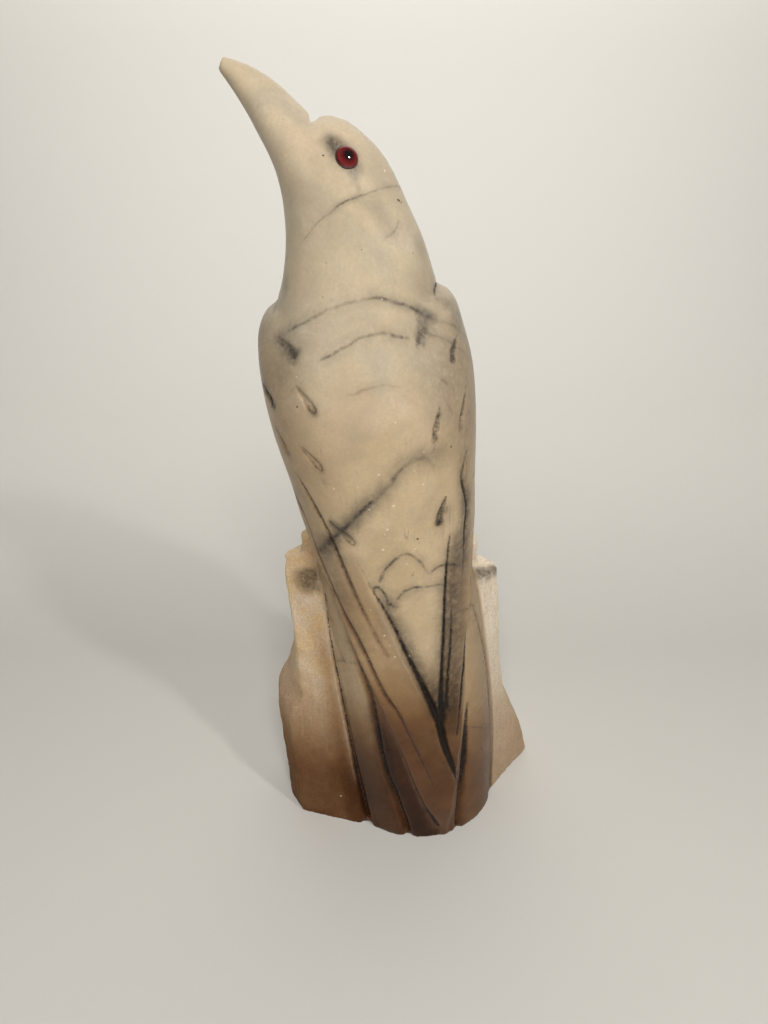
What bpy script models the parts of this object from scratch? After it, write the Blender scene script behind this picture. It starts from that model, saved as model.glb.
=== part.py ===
"""A bird with a long beak, perched upright on a rough stump, carved from one block of alabaster.

Units are metres and +Z is up. The origin is the middle of the stump's underside. The bird's back is
towards -Y, and its head is turned to its left, so the beak points towards -X. The form is drawn in
millimetres for a carving DRAWN_HEIGHT high, and one scale takes it to CARVING_HEIGHT. The glass eyes
are bought beads, so their sizes are their own.
"""
import math

import bmesh
import bpy
from mathutils import Vector

# Driving dimensions, in metres
CARVING_HEIGHT = 0.240
EYE_DIAMETER = 0.0056
EYE_THICKNESS = 0.0034
EYE_DOME = 0.0011
EYE_CLEARANCE = 0.0003

# Driving dimensions of the figure, in millimetres on a carving DRAWN_HEIGHT high
DRAWN_HEIGHT = 240.8
STUMP_LEFT_HEIGHT = 100.5
STUMP_RIGHT_HEIGHT = 94.5
STUB_LEFT_HEIGHT = 107.5
STUB_RIGHT_HEIGHT = 103.5
STUB_FOOT = 60.0
LEFT_SHOULDER_HEIGHT = 183.8
RIGHT_SHOULDER_HEIGHT = 187.9
LEFT_SHOULDER_ROUND = 9.0
RIGHT_SHOULDER_ROUND = 4.4
NAPE_LEFT_DEGREES = 80.0
NAPE_RIGHT_DEGREES = 62.0
NAPE_SOFT_DEGREES = 34.0
NAPE_FADE_START = 158.0
MANTLE_SUNK = -0.6
MANTLE_ROOT = -5.0
TOE_RADIUS = 2.1
TOE_SPREAD = 3.2
FOOT_SPREAD = 21.0
FEET_MIDDLE = -5.0

# How finely the faceted solids are cut
BIRD_COLUMNS = 40
BIRD_ROW = 6.2
SHOULDER_ROWS_FROM = 174.0
SHOULDER_ROW = 2.2
WING_COLUMNS = 30
BEAK_COLUMNS = 20
TOE_COLUMNS = 8
EYE_COLUMNS = 20
EYE_RINGS = 5
PATH_STEP = 5.0
PATH_STEPS_LEAST = 4
CUTTER_LIFT = 1.2
SLOPE_DEGREES = 2.0
SLOPE_STEP = 2.0
SAW_REACH = 80.0
SAW_DEPTH = 20.0

SCALE = CARVING_HEIGHT / DRAWN_HEIGHT

# Horizontal sections of the bird from the foot of the tail to the crown. Each row is the height,
# the centre across and in depth, the half width, the half depth, the squareness, and the turn of
# the back towards +X in degrees.
BIRD_SECTIONS = (
    (-4.0, 5.1, -11.2, 25.6, 20.4, 2.0, 12.5),
    (30.0, 2.5, -9.8, 26.7, 20.6, 2.0, 11.0),
    (60.0, -0.7, -8.1, 26.3, 21.3, 2.0, 9.5),
    (88.0, -4.4, -6.2, 25.3, 22.2, 2.1, 8.0),
    (106.0, -7.0, -5.2, 24.3, 22.6, 2.1, 8.0),
    (130.0, -10.0, -3.8, 25.2, 23.8, 2.1, 8.0),
    (150.0, -12.9, -2.5, 26.8, 24.8, 2.1, 8.0),
    (168.0, -15.0, -2.0, 26.2, 24.6, 2.1, 8.0),
    (180.0, -16.3, -1.5, 23.8, 22.6, 2.0, 6.0),
    (190.0, -16.6, -1.0, 20.3, 19.6, 2.0, 4.0),
    (200.0, -17.6, -0.5, 17.8, 16.8, 2.0, 0.0),
    (209.0, -19.9, 0.0, 15.7, 15.0, 2.0, 0.0),
    (216.0, -22.2, 0.0, 14.5, 13.6, 2.0, 0.0),
    (221.0, -23.4, 0.0, 12.2, 11.8, 2.0, 0.0),
    (225.0, -24.0, 0.0, 8.4, 8.6, 2.0, 0.0),
    (227.6, -23.8, 0.0, 4.2, 4.6, 2.0, 0.0),
    (228.4, -23.6, 0.0, 1.2, 1.4, 2.0, 0.0),
)

# The folded wings lie over the back like a mantle. Their outer edges, as height and degrees round
# the bird from the middle of its back, run up from the crossed tips to the flanks and shoulders.
LEFT_WING_EDGE = (
    (-4.0, 5.0), (7.0, 1.0), (21.0, -10.0), (42.0, -19.0), (60.0, -28.3), (80.0, -39.3), (99.0, -52.8),
    (110.0, -66.0), (120.0, -75.5), (136.0, -100.0), (152.0, -115.0), (167.0, -118.0), (177.0, -110.0),
    (185.0, -96.0), (192.0, -84.0),
)
RIGHT_WING_EDGE = (
    (-4.0, 8.0), (5.0, 9.2), (17.0, 14.0), (33.0, 19.2), (50.0, 25.7), (69.0, 32.8), (82.0, 37.6),
    (91.0, 43.8), (105.0, 58.3), (118.0, 70.0), (134.0, 97.0), (150.0, 114.0), (168.0, 118.0), (180.0, 110.0),
    (188.0, 97.0), (193.0, 86.0),
)
# How far the mantle stands proud of the bird, by height
MANTLE_RISE = ((-4.0, 2.2), (60.0, 2.3), (120.0, 2.0), (145.0, 2.5), (165.0, 3.3), (182.0, 3.6))

# The beak in profile: across and height of its upper and its lower edge, and its half thickness
BEAK_SECTIONS = (
    (-19.0, 221.0, -32.8, 203.4, 11.8),
    (-25.8, 226.8, -37.7, 218.0, 10.6),
    (-30.4, 231.0, -40.9, 225.0, 7.8),
    (-35.7, 235.6, -43.4, 229.8, 5.5),
    (-41.1, 238.7, -46.2, 234.3, 3.7),
    (-47.4, 240.8, -48.8, 238.0, 1.8),
)

# Flat hewn faces of the stump, in order round it. Each has the direction it faces, in degrees from
# the bird's back towards +X, and its distance from the origin by height.
STUMP_FACES = {
    "back": (-170.0, ((0.0, 31.0), (60.0, 29.0), (104.0, 26.4))),
    "back_left": (-128.0, ((0.0, 41.0), (40.0, 40.0), (58.0, 37.0), (104.0, 35.0))),
    "left": (-84.0, ((0.0, 46.2), (35.0, 47.6), (44.0, 48.4), (50.0, 47.6), (56.0, 43.8), (66.0, 41.2),
                     (84.0, 40.4), (94.0, 41.6), (104.0, 42.4))),
    "left_corner": (-60.0, ((0.0, 45.2), (35.0, 45.6), (44.0, 45.6), (50.0, 44.6), (56.0, 41.6),
                            (104.0, 41.0))),
    "front_left": (-15.0, ((0.0, 30.2), (104.0, 23.8))),
    "front": (16.0, ((0.0, 25.0), (104.0, 20.0))),
    "front_right": (50.0, ((0.0, 30.4), (30.0, 27.8), (62.0, 25.2), (104.0, 22.4))),
    "right": (97.0, ((0.0, 48.1), (15.0, 44.8), (25.0, 41.2), (35.0, 37.2), (46.0, 33.6), (63.0, 30.6),
                     (76.0, 29.4), (104.0, 27.6))),
    "back_right": (140.0, ((0.0, 43.0), (25.0, 36.0), (50.0, 30.0), (76.0, 24.6), (104.0, 21.6))),
}
STUMP_LEVELS = (-4.0, 8.0, 16.0, 25.0, 35.0, 44.0, 50.0, 56.0, 66.0, 76.0, 84.0, 94.0, 104.0)

# The taller stub of the stump under the bird's breast: the same kind of faces, upright
STUB_FACES = {
    "back": (-165.0, ((STUB_FOOT, 22.4),)),
    "back_left": (-120.0, ((STUB_FOOT, 34.6),)),
    "left": (-88.0, ((STUB_FOOT, 37.0),)),
    "front_left": (-30.0, ((STUB_FOOT, 17.0),)),
    "front_right": (25.0, ((STUB_FOOT, 6.0),)),
    "right": (88.0, ((STUB_FOOT, 20.8),)),
    "back_right": (145.0, ((STUB_FOOT, 19.2),)),
}

# Grooves cut into the back. Each has its path as degrees and height, and its widths and depths in
# millimetres at even steps along it.
GROOVES = {
    "left_inner_edge": (((-29.0, 121.0), (-23.9, 114.3), (-11.0, 95.3), (1.8, 68.7), (9.0, 55.8)),
                        (0.8, 3.0, 4.2), (0.3, 1.7, 2.6)),
    "left_over_right": (((9.0, 56.5), (12.2, 41.0), (17.5, 28.0)), (4.2, 3.4, 2.6), (2.5, 2.0, 1.4)),
    "right_inner_edge": (((34.0, 123.5), (29.8, 110.0), (22.6, 92.0), (15.0, 69.0), (11.4, 56.0)),
                         (0.8, 3.4, 4.0), (0.4, 1.7, 2.4)),
    "left_feather_outer": (((-74.0, 131.0), (-64.0, 117.0), (-43.0, 95.5), (-23.0, 68.3), (-0.6, 30.0)),
                           (0.8, 1.9, 0.9), (0.4, 1.1, 0.4)),
    "left_feather_inner": (((-59.6, 141.8), (-47.0, 128.5), (-35.2, 110.3), (-17.1, 84.6)),
                           (0.8, 1.8, 0.6), (0.4, 1.0, 0.25)),
    "right_feather_outer": (((33.9, 75.3), (29.6, 68.9), (25.6, 59.6), (19.8, 49.4)),
                            (0.7, 1.4, 0.7), (0.3, 0.9, 0.3)),
    "right_feather_upper": (((53.6, 147.5), (46.0, 139.0), (51.5, 131.0), (46.0, 119.5), (42.0, 109.0)),
                            (0.6, 2.0, 0.7), (0.3, 1.1, 0.3)),
    "tail_left": (((-44.0, 84.0), (-41.5, 71.7), (-39.5, 58.0), (-38.5, 38.7), (-34.8, 21.2), (-23.0, -2.0)),
                  (1.2, 3.0, 3.4), (0.6, 1.8, 2.2)),
    "tail_right": (((36.0, 62.0), (29.4, 42.7), (24.6, 23.2), (18.0, -2.0)), (1.0, 2.8, 3.0), (0.6, 1.9, 2.0)),
    "left_shoulder": (((-108.0, 184.2), (-92.0, 184.8), (-74.0, 183.0)), (1.4, 2.4, 0.8), (0.5, 1.1, 0.3)),
    "right_shoulder": (((108.0, 187.4), (88.0, 188.8), (70.0, 188.8), (55.0, 186.4)),
                       (1.4, 2.4, 2.2, 0.8), (0.6, 1.2, 1.1, 0.3)),
}

# Grooves between the tail and the hewn faces of the stump. Each has the face it lies on and its
# path as across and height on that face.
RIM_GROOVES = {
    "tail_left_rim": ("front_left", ((-28.4, 96.0), (-26.7, 77.7), (-24.2, 59.4), (-21.3, 37.7), (-18.5, 17.0),
                                     (-16.2, -2.0)), (2.0, 3.0, 3.2), (1.2, 2.0, 2.4)),
    "tail_right_rim": ("front_right", ((18.0, 92.0), (23.1, 71.2), (25.8, 53.2), (28.1, 30.6), (29.0, 10.7),
                                       (28.6, -2.0)), (2.0, 2.6, 2.8), (1.2, 1.8, 2.0)),
}

# Teardrop cuts that mark the small feathers of the wings, from the thin end to the round end
CHIPS = (
    ((-55.9, 178.6), (-43.2, 175.5)), ((-77.7, 164.4), (-62.5, 161.9)), ((-44.7, 168.6), (-32.6, 163.1)),
    ((-73.5, 152.4), (-60.4, 147.1)), ((-46.5, 152.0), (-33.7, 145.6)), ((-38.3, 129.5), (-25.0, 122.6)),
    ((35.6, 181.2), (27.8, 178.2)), ((58.1, 177.8), (48.4, 172.8)), ((53.8, 165.5), (43.8, 154.0)),
    ((30.6, 162.7), (24.6, 153.6)), ((79.0, 165.0), (72.0, 158.0)), ((30.6, 136.1), (24.0, 127.7)),
)
CHIP_WIDTHS = (0.6, 1.6, 2.6, 3.2, 1.6)
CHIP_DEPTHS = (0.3, 0.7, 1.1, 1.4, 0.4)

# The course of a toe over the stub's edge: its share of the splay, its place behind the edge and
# above the top, and its share of the toe's radius
TOE_COURSE = (
    (0.0, -12.0, -1.0, 1.0),
    (0.4, -6.0, 0.9, 1.0),
    (1.0, -0.6, 0.3, 0.95),
    (1.1, 0.9, -3.0, 0.8),
    (1.1, 0.2, -6.0, 0.4),
)

# Where an eye looks out: below the crown, and round the head from the middle of its back
EYE_BELOW_CROWN = 7.8
EYE_DEGREES = 22.4


def smooth(table, at, column=1):
    """A smooth curve through the rows of a table, read at one place along its first column."""
    at = min(max(at, table[0][0]), table[-1][0])
    last = len(table) - 1
    i = next(row for row in range(last) if at <= table[row + 1][0])
    low, high = table[i], table[i + 1]
    before, after = table[max(i - 1, 0)], table[min(i + 2, last)]
    span = high[0] - low[0]
    slope_low = (high[column] - before[column]) / (high[0] - before[0])
    slope_high = (after[column] - low[column]) / (after[0] - low[0])
    t = (at - low[0]) / span
    return (low[column] * (1 + 2 * t) * (1 - t) ** 2 + high[column] * (3 - 2 * t) * t ** 2
            + span * (slope_low * t * (1 - t) ** 2 - slope_high * (1 - t) * t ** 2))


def linear(table, at):
    """A broken line through the rows of a table, held at its ends."""
    if at <= table[0][0]:
        return table[0][1]
    if at >= table[-1][0]:
        return table[-1][1]
    i = next(row for row in range(len(table) - 1) if at <= table[row + 1][0])
    low, high = table[i], table[i + 1]
    return low[1] + (high[1] - low[1]) * (at - low[0]) / (high[0] - low[0])


def between(values, share):
    """Reads evenly spaced values at a share of their run."""
    return linear([(index / (len(values) - 1), value) for index, value in enumerate(values)], share)


def ease(share):
    """Eases a share in and out between 0 and 1."""
    share = min(1.0, max(0.0, share))
    return share * share * (3 - 2 * share)


def bird_point(degrees, height, proud=0.0):
    """A point at an angle round the bird from the middle of its back, proud of its skin."""
    across, depth, half_width, half_depth, squareness, turn = (
        smooth(BIRD_SECTIONS, height, column) for column in range(1, 7))
    angle = math.radians(degrees)
    turn = math.radians(turn)
    sine, cosine = math.sin(angle), math.cos(angle)
    side = math.copysign(abs(sine) ** (2 / squareness), sine) * half_width + sine * proud
    back = math.copysign(abs(cosine) ** (2 / squareness), cosine) * half_depth + cosine * proud
    return Vector((across + side * math.cos(turn) + back * math.sin(turn),
                   depth + side * math.sin(turn) - back * math.cos(turn), height))


def lean_between(left, right, degrees):
    """A value that goes from its left to its right one round the back."""
    return (left + right + (right - left) * math.sin(math.radians(degrees))) / 2


def mantle_rise(degrees, height):
    """How far the wings stand proud: rounded off at the shoulders, faded out up the nape."""
    top = lean_between(LEFT_SHOULDER_HEIGHT, RIGHT_SHOULDER_HEIGHT, degrees)
    if height >= top:
        return MANTLE_SUNK
    rise = smooth(MANTLE_RISE, height)
    round_share = min(1.0, (top - height) / lean_between(LEFT_SHOULDER_ROUND, RIGHT_SHOULDER_ROUND, degrees))
    rise = MANTLE_SUNK + (rise - MANTLE_SUNK) * math.sqrt(1 - (1 - round_share) ** 2)
    nape = NAPE_RIGHT_DEGREES if degrees > 0 else NAPE_LEFT_DEGREES
    flank = ease((abs(degrees) - nape + NAPE_SOFT_DEGREES) / NAPE_SOFT_DEGREES)
    fade = ease((height - NAPE_FADE_START) / (top - NAPE_FADE_START)) * (1 - flank)
    return rise + (MANTLE_SUNK - rise) * fade


def on_skin(degrees, height):
    """A point of the carved surface: on the wings where they lie, and on the bird elsewhere."""
    inside = smooth(LEFT_WING_EDGE, height) < degrees < smooth(RIGHT_WING_EDGE, height)
    return bird_point(degrees, height, max(0.0, mantle_rise(degrees, height)) if inside else 0.0)


def skin_normal(degrees, height):
    """The outward direction of the bird's surface."""
    around = bird_point(degrees + SLOPE_DEGREES, height) - bird_point(degrees - SLOPE_DEGREES, height)
    upward = bird_point(degrees, height + SLOPE_STEP) - bird_point(degrees, height - SLOPE_STEP)
    return around.cross(upward).normalized()


def face_normal(face):
    """The level direction that a hewn face looks in."""
    angle = math.radians(face[0])
    return Vector((math.sin(angle), -math.cos(angle), 0.0))


def on_face(face, across, height):
    """The point of a hewn face at a place across and a height."""
    normal = face_normal(face)
    return Vector((across, (linear(face[1], height) - normal.x * across) / normal.y, height))


def mesh_object(name, rings):
    """Joins rings of points, given in millimetres, into one closed solid."""
    bm = bmesh.new()
    loops = [[bm.verts.new(Vector(point) * SCALE) for point in ring] for ring in rings]
    count = len(loops[0])
    for lower, upper in zip(loops, loops[1:]):
        for i in range(count):
            j = (i + 1) % count
            bm.faces.new((lower[i], lower[j], upper[j], upper[i]))
    bm.faces.new(reversed(loops[0]))
    bm.faces.new(loops[-1])
    return link_mesh(name, bm)


def link_mesh(name, bm):
    """Turns a bmesh into a linked object with its faces outwards and its round sides smooth."""
    bmesh.ops.triangulate(bm, faces=[face for face in bm.faces if len(face.verts) > 4])
    bmesh.ops.recalc_face_normals(bm, faces=bm.faces)
    mesh = bpy.data.meshes.new(name)
    bm.to_mesh(mesh)
    bm.free()
    mesh.shade_smooth()
    mesh.set_sharp_from_angle(angle=math.radians(32))
    solid = bpy.data.objects.new(name, mesh)
    bpy.context.scene.collection.objects.link(solid)
    return solid


def boolean(target, tool, operation):
    """Joins a tool solid to the target, or cuts it away, as a live modifier."""
    tool.hide_render = True
    tool.display_type = 'WIRE'
    modifier = target.modifiers.new(tool.name, 'BOOLEAN')
    modifier.operation = operation
    modifier.object = tool
    modifier.solver = 'EXACT'


def finish(name, colour, roughness):
    """A plain Principled material."""
    material = bpy.data.materials.new(name)
    material.use_nodes = True
    shader = material.node_tree.nodes["Principled BSDF"]
    shader.inputs["Base Color"].default_value = (*colour, 1.0)
    shader.inputs["Roughness"].default_value = roughness
    shader.inputs["Metallic"].default_value = 0.0
    return material


def row_heights(low, high, spacing):
    """Even rows of a loft from one height to just below another."""
    rows = round((high - low) / spacing)
    return [low + (high - low) * row / rows for row in range(rows)]


def bird_body():
    """Body, neck, head and the fan of the tail in one loft."""
    high = BIRD_SECTIONS[-1][0]
    heights = row_heights(BIRD_SECTIONS[0][0], high, BIRD_ROW)
    heights += [(heights[-1] + high) / 2, high]
    return mesh_object("bird_body", [
        [bird_point(360 * column / BIRD_COLUMNS, height) for column in range(BIRD_COLUMNS)]
        for height in heights])


def wing_mantle():
    """Both folded wings with the rump between them, as one slab that hugs the back."""
    high = max(LEFT_SHOULDER_HEIGHT, RIGHT_SHOULDER_HEIGHT)
    heights = row_heights(LEFT_WING_EDGE[0][0], SHOULDER_ROWS_FROM, BIRD_ROW)
    heights += row_heights(SHOULDER_ROWS_FROM, high, SHOULDER_ROW)
    heights += [high - SHOULDER_ROW / 5, high + SHOULDER_ROW / 4]
    rings = []
    for height in heights:
        left, right = smooth(LEFT_WING_EDGE, height), smooth(RIGHT_WING_EDGE, height)
        angles = [left + (right - left) * column / WING_COLUMNS for column in range(WING_COLUMNS + 1)]
        outer = [bird_point(angle, height, mantle_rise(angle, height)) for angle in angles]
        inner = [bird_point(angle, height, MANTLE_ROOT) for angle in reversed(angles)]
        rings.append(outer + inner)
    return mesh_object("wing_mantle", rings)


def beak():
    """The decurved beak: soft diamond sections from inside the head to the blunt tip."""
    rings = []
    for upper_x, upper_z, lower_x, lower_z, thickness in BEAK_SECTIONS:
        middle = Vector(((upper_x + lower_x) / 2, 0.0, (upper_z + lower_z) / 2))
        up = Vector((upper_x, 0.0, upper_z)) - middle
        ring = []
        for column in range(BEAK_COLUMNS):
            angle = 2 * math.pi * column / BEAK_COLUMNS
            sine, cosine = math.sin(angle), math.cos(angle)
            side = math.copysign(abs(sine) ** 1.15, sine) * thickness
            ring.append(middle + up * cosine + Vector((0.0, side, 0.0)))
        rings.append(ring)
    return mesh_object("beak", rings)


def block_top(left_top, right_top, across):
    """The height of a sloping block top at a place across, between the stump's left and right."""
    left, right = -STUMP_FACES["left"][1][-1][1], STUMP_FACES["right"][1][-1][1]
    return left_top + (right_top - left_top) * (across - left) / (right - left)


def hewn_block(name, faces, levels, left_top, right_top):
    """A rough block with flat faces that meet in arrises, and a top that slopes to the right."""
    rings = []
    for level in levels:
        lines = [(face_normal(face), linear(face[1], level)) for face in faces.values()]
        share = (level - levels[0]) / (levels[-1] - levels[0])
        ring = []
        for (a, reach_a), (b, reach_b) in zip(lines, lines[1:] + lines[:1]):
            cross = a.x * b.y - a.y * b.x
            x = (reach_a * b.y - reach_b * a.y) / cross
            y = (a.x * reach_b - b.x * reach_a) / cross
            ring.append((x, y, level + share * (block_top(left_top, right_top, x) - levels[-1])))
        rings.append(ring)
    return mesh_object(name, rings)


def stump():
    """The stump that the tail hangs over, flared at its right foot and broken out at its left."""
    return hewn_block("stump", STUMP_FACES, STUMP_LEVELS, STUMP_LEFT_HEIGHT, STUMP_RIGHT_HEIGHT)


def stub():
    """The taller part of the stump, against the bird's breast."""
    return hewn_block("stub", STUB_FACES, (STUB_FOOT, STUB_LEFT_HEIGHT), STUB_LEFT_HEIGHT, STUB_RIGHT_HEIGHT)


def stub_edge(across):
    """How far back the stub reaches at a place across."""
    behind = [face for face in STUB_FACES.values() if face_normal(face).y > 0]
    return min((linear(face[1], STUB_FOOT) - face_normal(face).x * across) / face_normal(face).y
               for face in behind)


def toe(name, across, splay):
    """A plain toe that lies on the stub and hooks over its edge."""
    edge = stub_edge(across + splay)
    top = block_top(STUB_LEFT_HEIGHT, STUB_RIGHT_HEIGHT, across)
    last = len(TOE_COURSE) - 1
    path = [Vector((across + splay * spread, edge + back, top + lift)) for spread, back, lift, _ in TOE_COURSE]
    side = Vector((TOE_COURSE[0][1], splay, 0.0)).normalized()
    rings = []
    for index, point in enumerate(path):
        along = (path[min(index + 1, last)] - path[max(index - 1, 0)]).normalized()
        up = side.cross(along).normalized()
        radius = TOE_RADIUS * TOE_COURSE[index][3]
        angles = [2 * math.pi * column / TOE_COLUMNS for column in range(TOE_COLUMNS)]
        rings.append([point + (side * math.cos(angle) + up * math.sin(angle)) * radius for angle in angles])
    return mesh_object(name, rings)


def even_places(path, knots):
    """Even steps along a path of paired values, as many as the length between its knots asks for."""
    first = [(index, pair[0]) for index, pair in enumerate(path)]
    second = [(index, pair[1]) for index, pair in enumerate(path)]
    length = sum((b - a).length for a, b in zip(knots, knots[1:]))
    steps = max(PATH_STEPS_LEAST, round(length / PATH_STEP))
    shares = [(len(path) - 1) * step / steps for step in range(steps + 1)]
    return [(smooth(first, share), smooth(second, share)) for share in shares]


def groove_cutter(name, points, normals, widths, depths):
    """A three-sided bar laid along points on the carved surface, its keel below it."""
    last = len(points) - 1
    rings = []
    for step, (point, normal) in enumerate(zip(points, normals)):
        along = points[min(step + 1, last)] - points[max(step - 1, 0)]
        side = along.cross(normal).normalized()
        depth = between(depths, step / last)
        half = between(widths, step / last) / 2 * (1 + CUTTER_LIFT / depth)
        rings.append([point + side * half + normal * CUTTER_LIFT,
                      point - side * half + normal * CUTTER_LIFT,
                      point - normal * depth])
    return mesh_object(name, rings)


def skin_groove(name, path, widths, depths):
    """The cutter of a groove in the bird's surface."""
    places = even_places(path, [on_skin(*pair) for pair in path])
    return groove_cutter(name, [on_skin(*at) for at in places], [skin_normal(*at) for at in places],
                         widths, depths)


def face_groove(name, face, path, widths, depths):
    """The cutter of a groove in a hewn face of the stump."""
    places = even_places(path, [on_face(face, *pair) for pair in path])
    return groove_cutter(name, [on_face(face, *at) for at in places], [face_normal(face)] * len(places),
                         widths, depths)


def turned(name, profile, place, direction):
    """A solid turned about an axis, from a profile of radius and distance along it, in metres."""
    bm = bmesh.new()
    rings = []
    for radius, along in profile:
        columns = EYE_COLUMNS if radius > 0.0 else 1
        rings.append([
            bm.verts.new((radius * math.cos(2 * math.pi * i / columns),
                          radius * math.sin(2 * math.pi * i / columns), along))
            for i in range(columns)])
    for lower, upper in zip(rings, rings[1:]):
        for i in range(EYE_COLUMNS):
            j = i + 1
            corners = (lower[i % len(lower)], lower[j % len(lower)],
                       upper[j % len(upper)], upper[i % len(upper)])
            bm.faces.new(list(dict.fromkeys(corners)))
    solid = link_mesh(name, bm)
    solid.rotation_mode = 'QUATERNION'
    solid.rotation_quaternion = direction.to_track_quat('Z', 'Y')
    solid.location = place
    return solid


def eye_place(side):
    """Where the axis of an eye meets the head and the way it looks; side is -1 for the bird's left."""
    height = BIRD_SECTIONS[-1][0] - EYE_BELOW_CROWN
    point, normal = bird_point(EYE_DEGREES, height), skin_normal(EYE_DEGREES, height)
    return Vector((point.x, -side * point.y, point.z)) * SCALE, Vector((normal.x, -side * normal.y, normal.z))


def glass_eye(name, side):
    """A glass bead with a domed front and a flat back."""
    radius, back = EYE_DIAMETER / 2, EYE_DOME - EYE_THICKNESS
    quarter = math.pi / 2 / EYE_RINGS
    dome = [(radius * math.cos(quarter * ring), EYE_DOME * math.sin(quarter * ring))
            for ring in range(EYE_RINGS)]
    return turned(name, [(0.0, back), (radius, back)] + dome + [(0.0, EYE_DOME)], *eye_place(side))


def socket_cutter(name, side):
    """The drilled socket of an eye, a clearance wider and deeper than the bead."""
    radius, floor = EYE_DIAMETER / 2 + EYE_CLEARANCE, EYE_DOME - EYE_THICKNESS - EYE_CLEARANCE
    return turned(name, [(0.0, floor), (radius, floor), (radius, EYE_THICKNESS), (0.0, EYE_THICKNESS)],
                  *eye_place(side))


def saw_cutter():
    """Everything below the ground, where the block's foot is sawn off flat."""
    square = [(-SAW_REACH, -SAW_REACH), (SAW_REACH, -SAW_REACH), (SAW_REACH, SAW_REACH), (-SAW_REACH, SAW_REACH)]
    return mesh_object("saw", [[(x, y, height) for x, y in square] for height in (-SAW_DEPTH, 0.0)])


def carving(material):
    """The whole block: bird, wings, beak and stump joined, sawn flat and then carved."""
    block = bird_body()
    block.name = "carved_bird_on_stump"
    for solid in (wing_mantle(), beak(), stump(), stub()):
        boolean(block, solid, 'UNION')
    for foot in (-1, 1):
        for number in (-1, 0, 1):
            across = FEET_MIDDLE + foot * FOOT_SPREAD / 2 + number * TOE_RADIUS * 0.8
            boolean(block, toe(f"toe_{foot}_{number}", across, number * TOE_SPREAD), 'UNION')
    boolean(block, saw_cutter(), 'DIFFERENCE')
    for name, (path, widths, depths) in GROOVES.items():
        boolean(block, skin_groove(name, path, widths, depths), 'DIFFERENCE')
    for name, (face_name, path, widths, depths) in RIM_GROOVES.items():
        boolean(block, face_groove(name, STUMP_FACES[face_name], path, widths, depths), 'DIFFERENCE')
    for number, path in enumerate(CHIPS, 1):
        boolean(block, skin_groove(f"chip_{number}", path, CHIP_WIDTHS, CHIP_DEPTHS), 'DIFFERENCE')
    boolean(block, socket_cutter("left_socket", -1), 'DIFFERENCE')
    boolean(block, socket_cutter("right_socket", 1), 'DIFFERENCE')
    block.data.materials.append(material)


for old in list(bpy.data.objects):
    bpy.data.objects.remove(old)

carving(finish("alabaster", (0.56, 0.48, 0.36), 0.35))
glass = finish("eye_glass", (0.35, 0.02, 0.03), 0.05)
for eye_name, eye_side in (("left_glass_eye", -1), ("right_glass_eye", 1)):
    glass_eye(eye_name, eye_side).data.materials.append(glass)
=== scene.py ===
"""A long-beaked bird on a stump, carved from one block of grey-veined alabaster, with glass bead eyes.

The form is drawn in millimetres for a carving DRAWN_HEIGHT high, and MM takes it to metres. The bird's
back is towards -Y, its beak towards -X. A place on its skin is an angle round it from the middle of the
back, in degrees towards +X, and a height.
"""
import math
from functools import reduce

import bpy
import numpy as np
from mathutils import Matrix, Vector


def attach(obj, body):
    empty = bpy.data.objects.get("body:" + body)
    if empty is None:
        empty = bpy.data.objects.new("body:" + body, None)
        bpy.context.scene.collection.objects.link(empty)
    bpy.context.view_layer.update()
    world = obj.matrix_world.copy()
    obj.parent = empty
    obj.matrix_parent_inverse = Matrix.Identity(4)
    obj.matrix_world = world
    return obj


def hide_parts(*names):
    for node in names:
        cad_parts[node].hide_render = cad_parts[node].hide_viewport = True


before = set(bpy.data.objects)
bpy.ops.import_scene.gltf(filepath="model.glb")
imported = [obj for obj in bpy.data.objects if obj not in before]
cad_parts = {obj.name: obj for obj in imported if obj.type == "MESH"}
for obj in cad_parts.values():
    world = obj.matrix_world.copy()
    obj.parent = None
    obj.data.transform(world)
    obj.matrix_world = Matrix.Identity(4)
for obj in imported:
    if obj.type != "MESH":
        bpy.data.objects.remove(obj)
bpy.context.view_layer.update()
scene = bpy.context.scene

# The camera
# A phone held close to the carving, a little above its head and tilted down on it.
camera_data = bpy.data.cameras.new("phone_camera")
camera_data.lens = 27.035
camera_data.sensor_width = 36.0
camera_data.clip_start = 0.01
camera = bpy.data.objects.new("phone_camera", camera_data)
camera.location = (-0.009967, -0.207309, 0.241196)
camera.rotation_euler = (math.radians(59.0), 0.0, 0.0)
scene.collection.objects.link(camera)
scene.camera = camera

# The bird's body and folded wings
# The upper part of the block, worked down to one smooth skin from the foot of the tail to the crown.
# The wings lie over the back like a mantle, a few millimetres proud, and end in an edge all round.
DRAWN_HEIGHT, CARVING_HEIGHT = 240.8, 0.240
MM = CARVING_HEIGHT / DRAWN_HEIGHT
SKIN_COLUMNS = 300
SKIN_ROW = 0.8
EDGE_SOFT_DEGREES = 1.6
LEFT_SHOULDER_HEIGHT, RIGHT_SHOULDER_HEIGHT = 183.8, 187.9
LEFT_SHOULDER_ROUND, RIGHT_SHOULDER_ROUND = 9.0, 4.4
NAPE_LEFT_DEGREES, NAPE_RIGHT_DEGREES, NAPE_SOFT_DEGREES = 80.0, 62.0, 34.0
NAPE_FADE_START = 158.0
MANTLE_SUNK = -0.6

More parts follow.
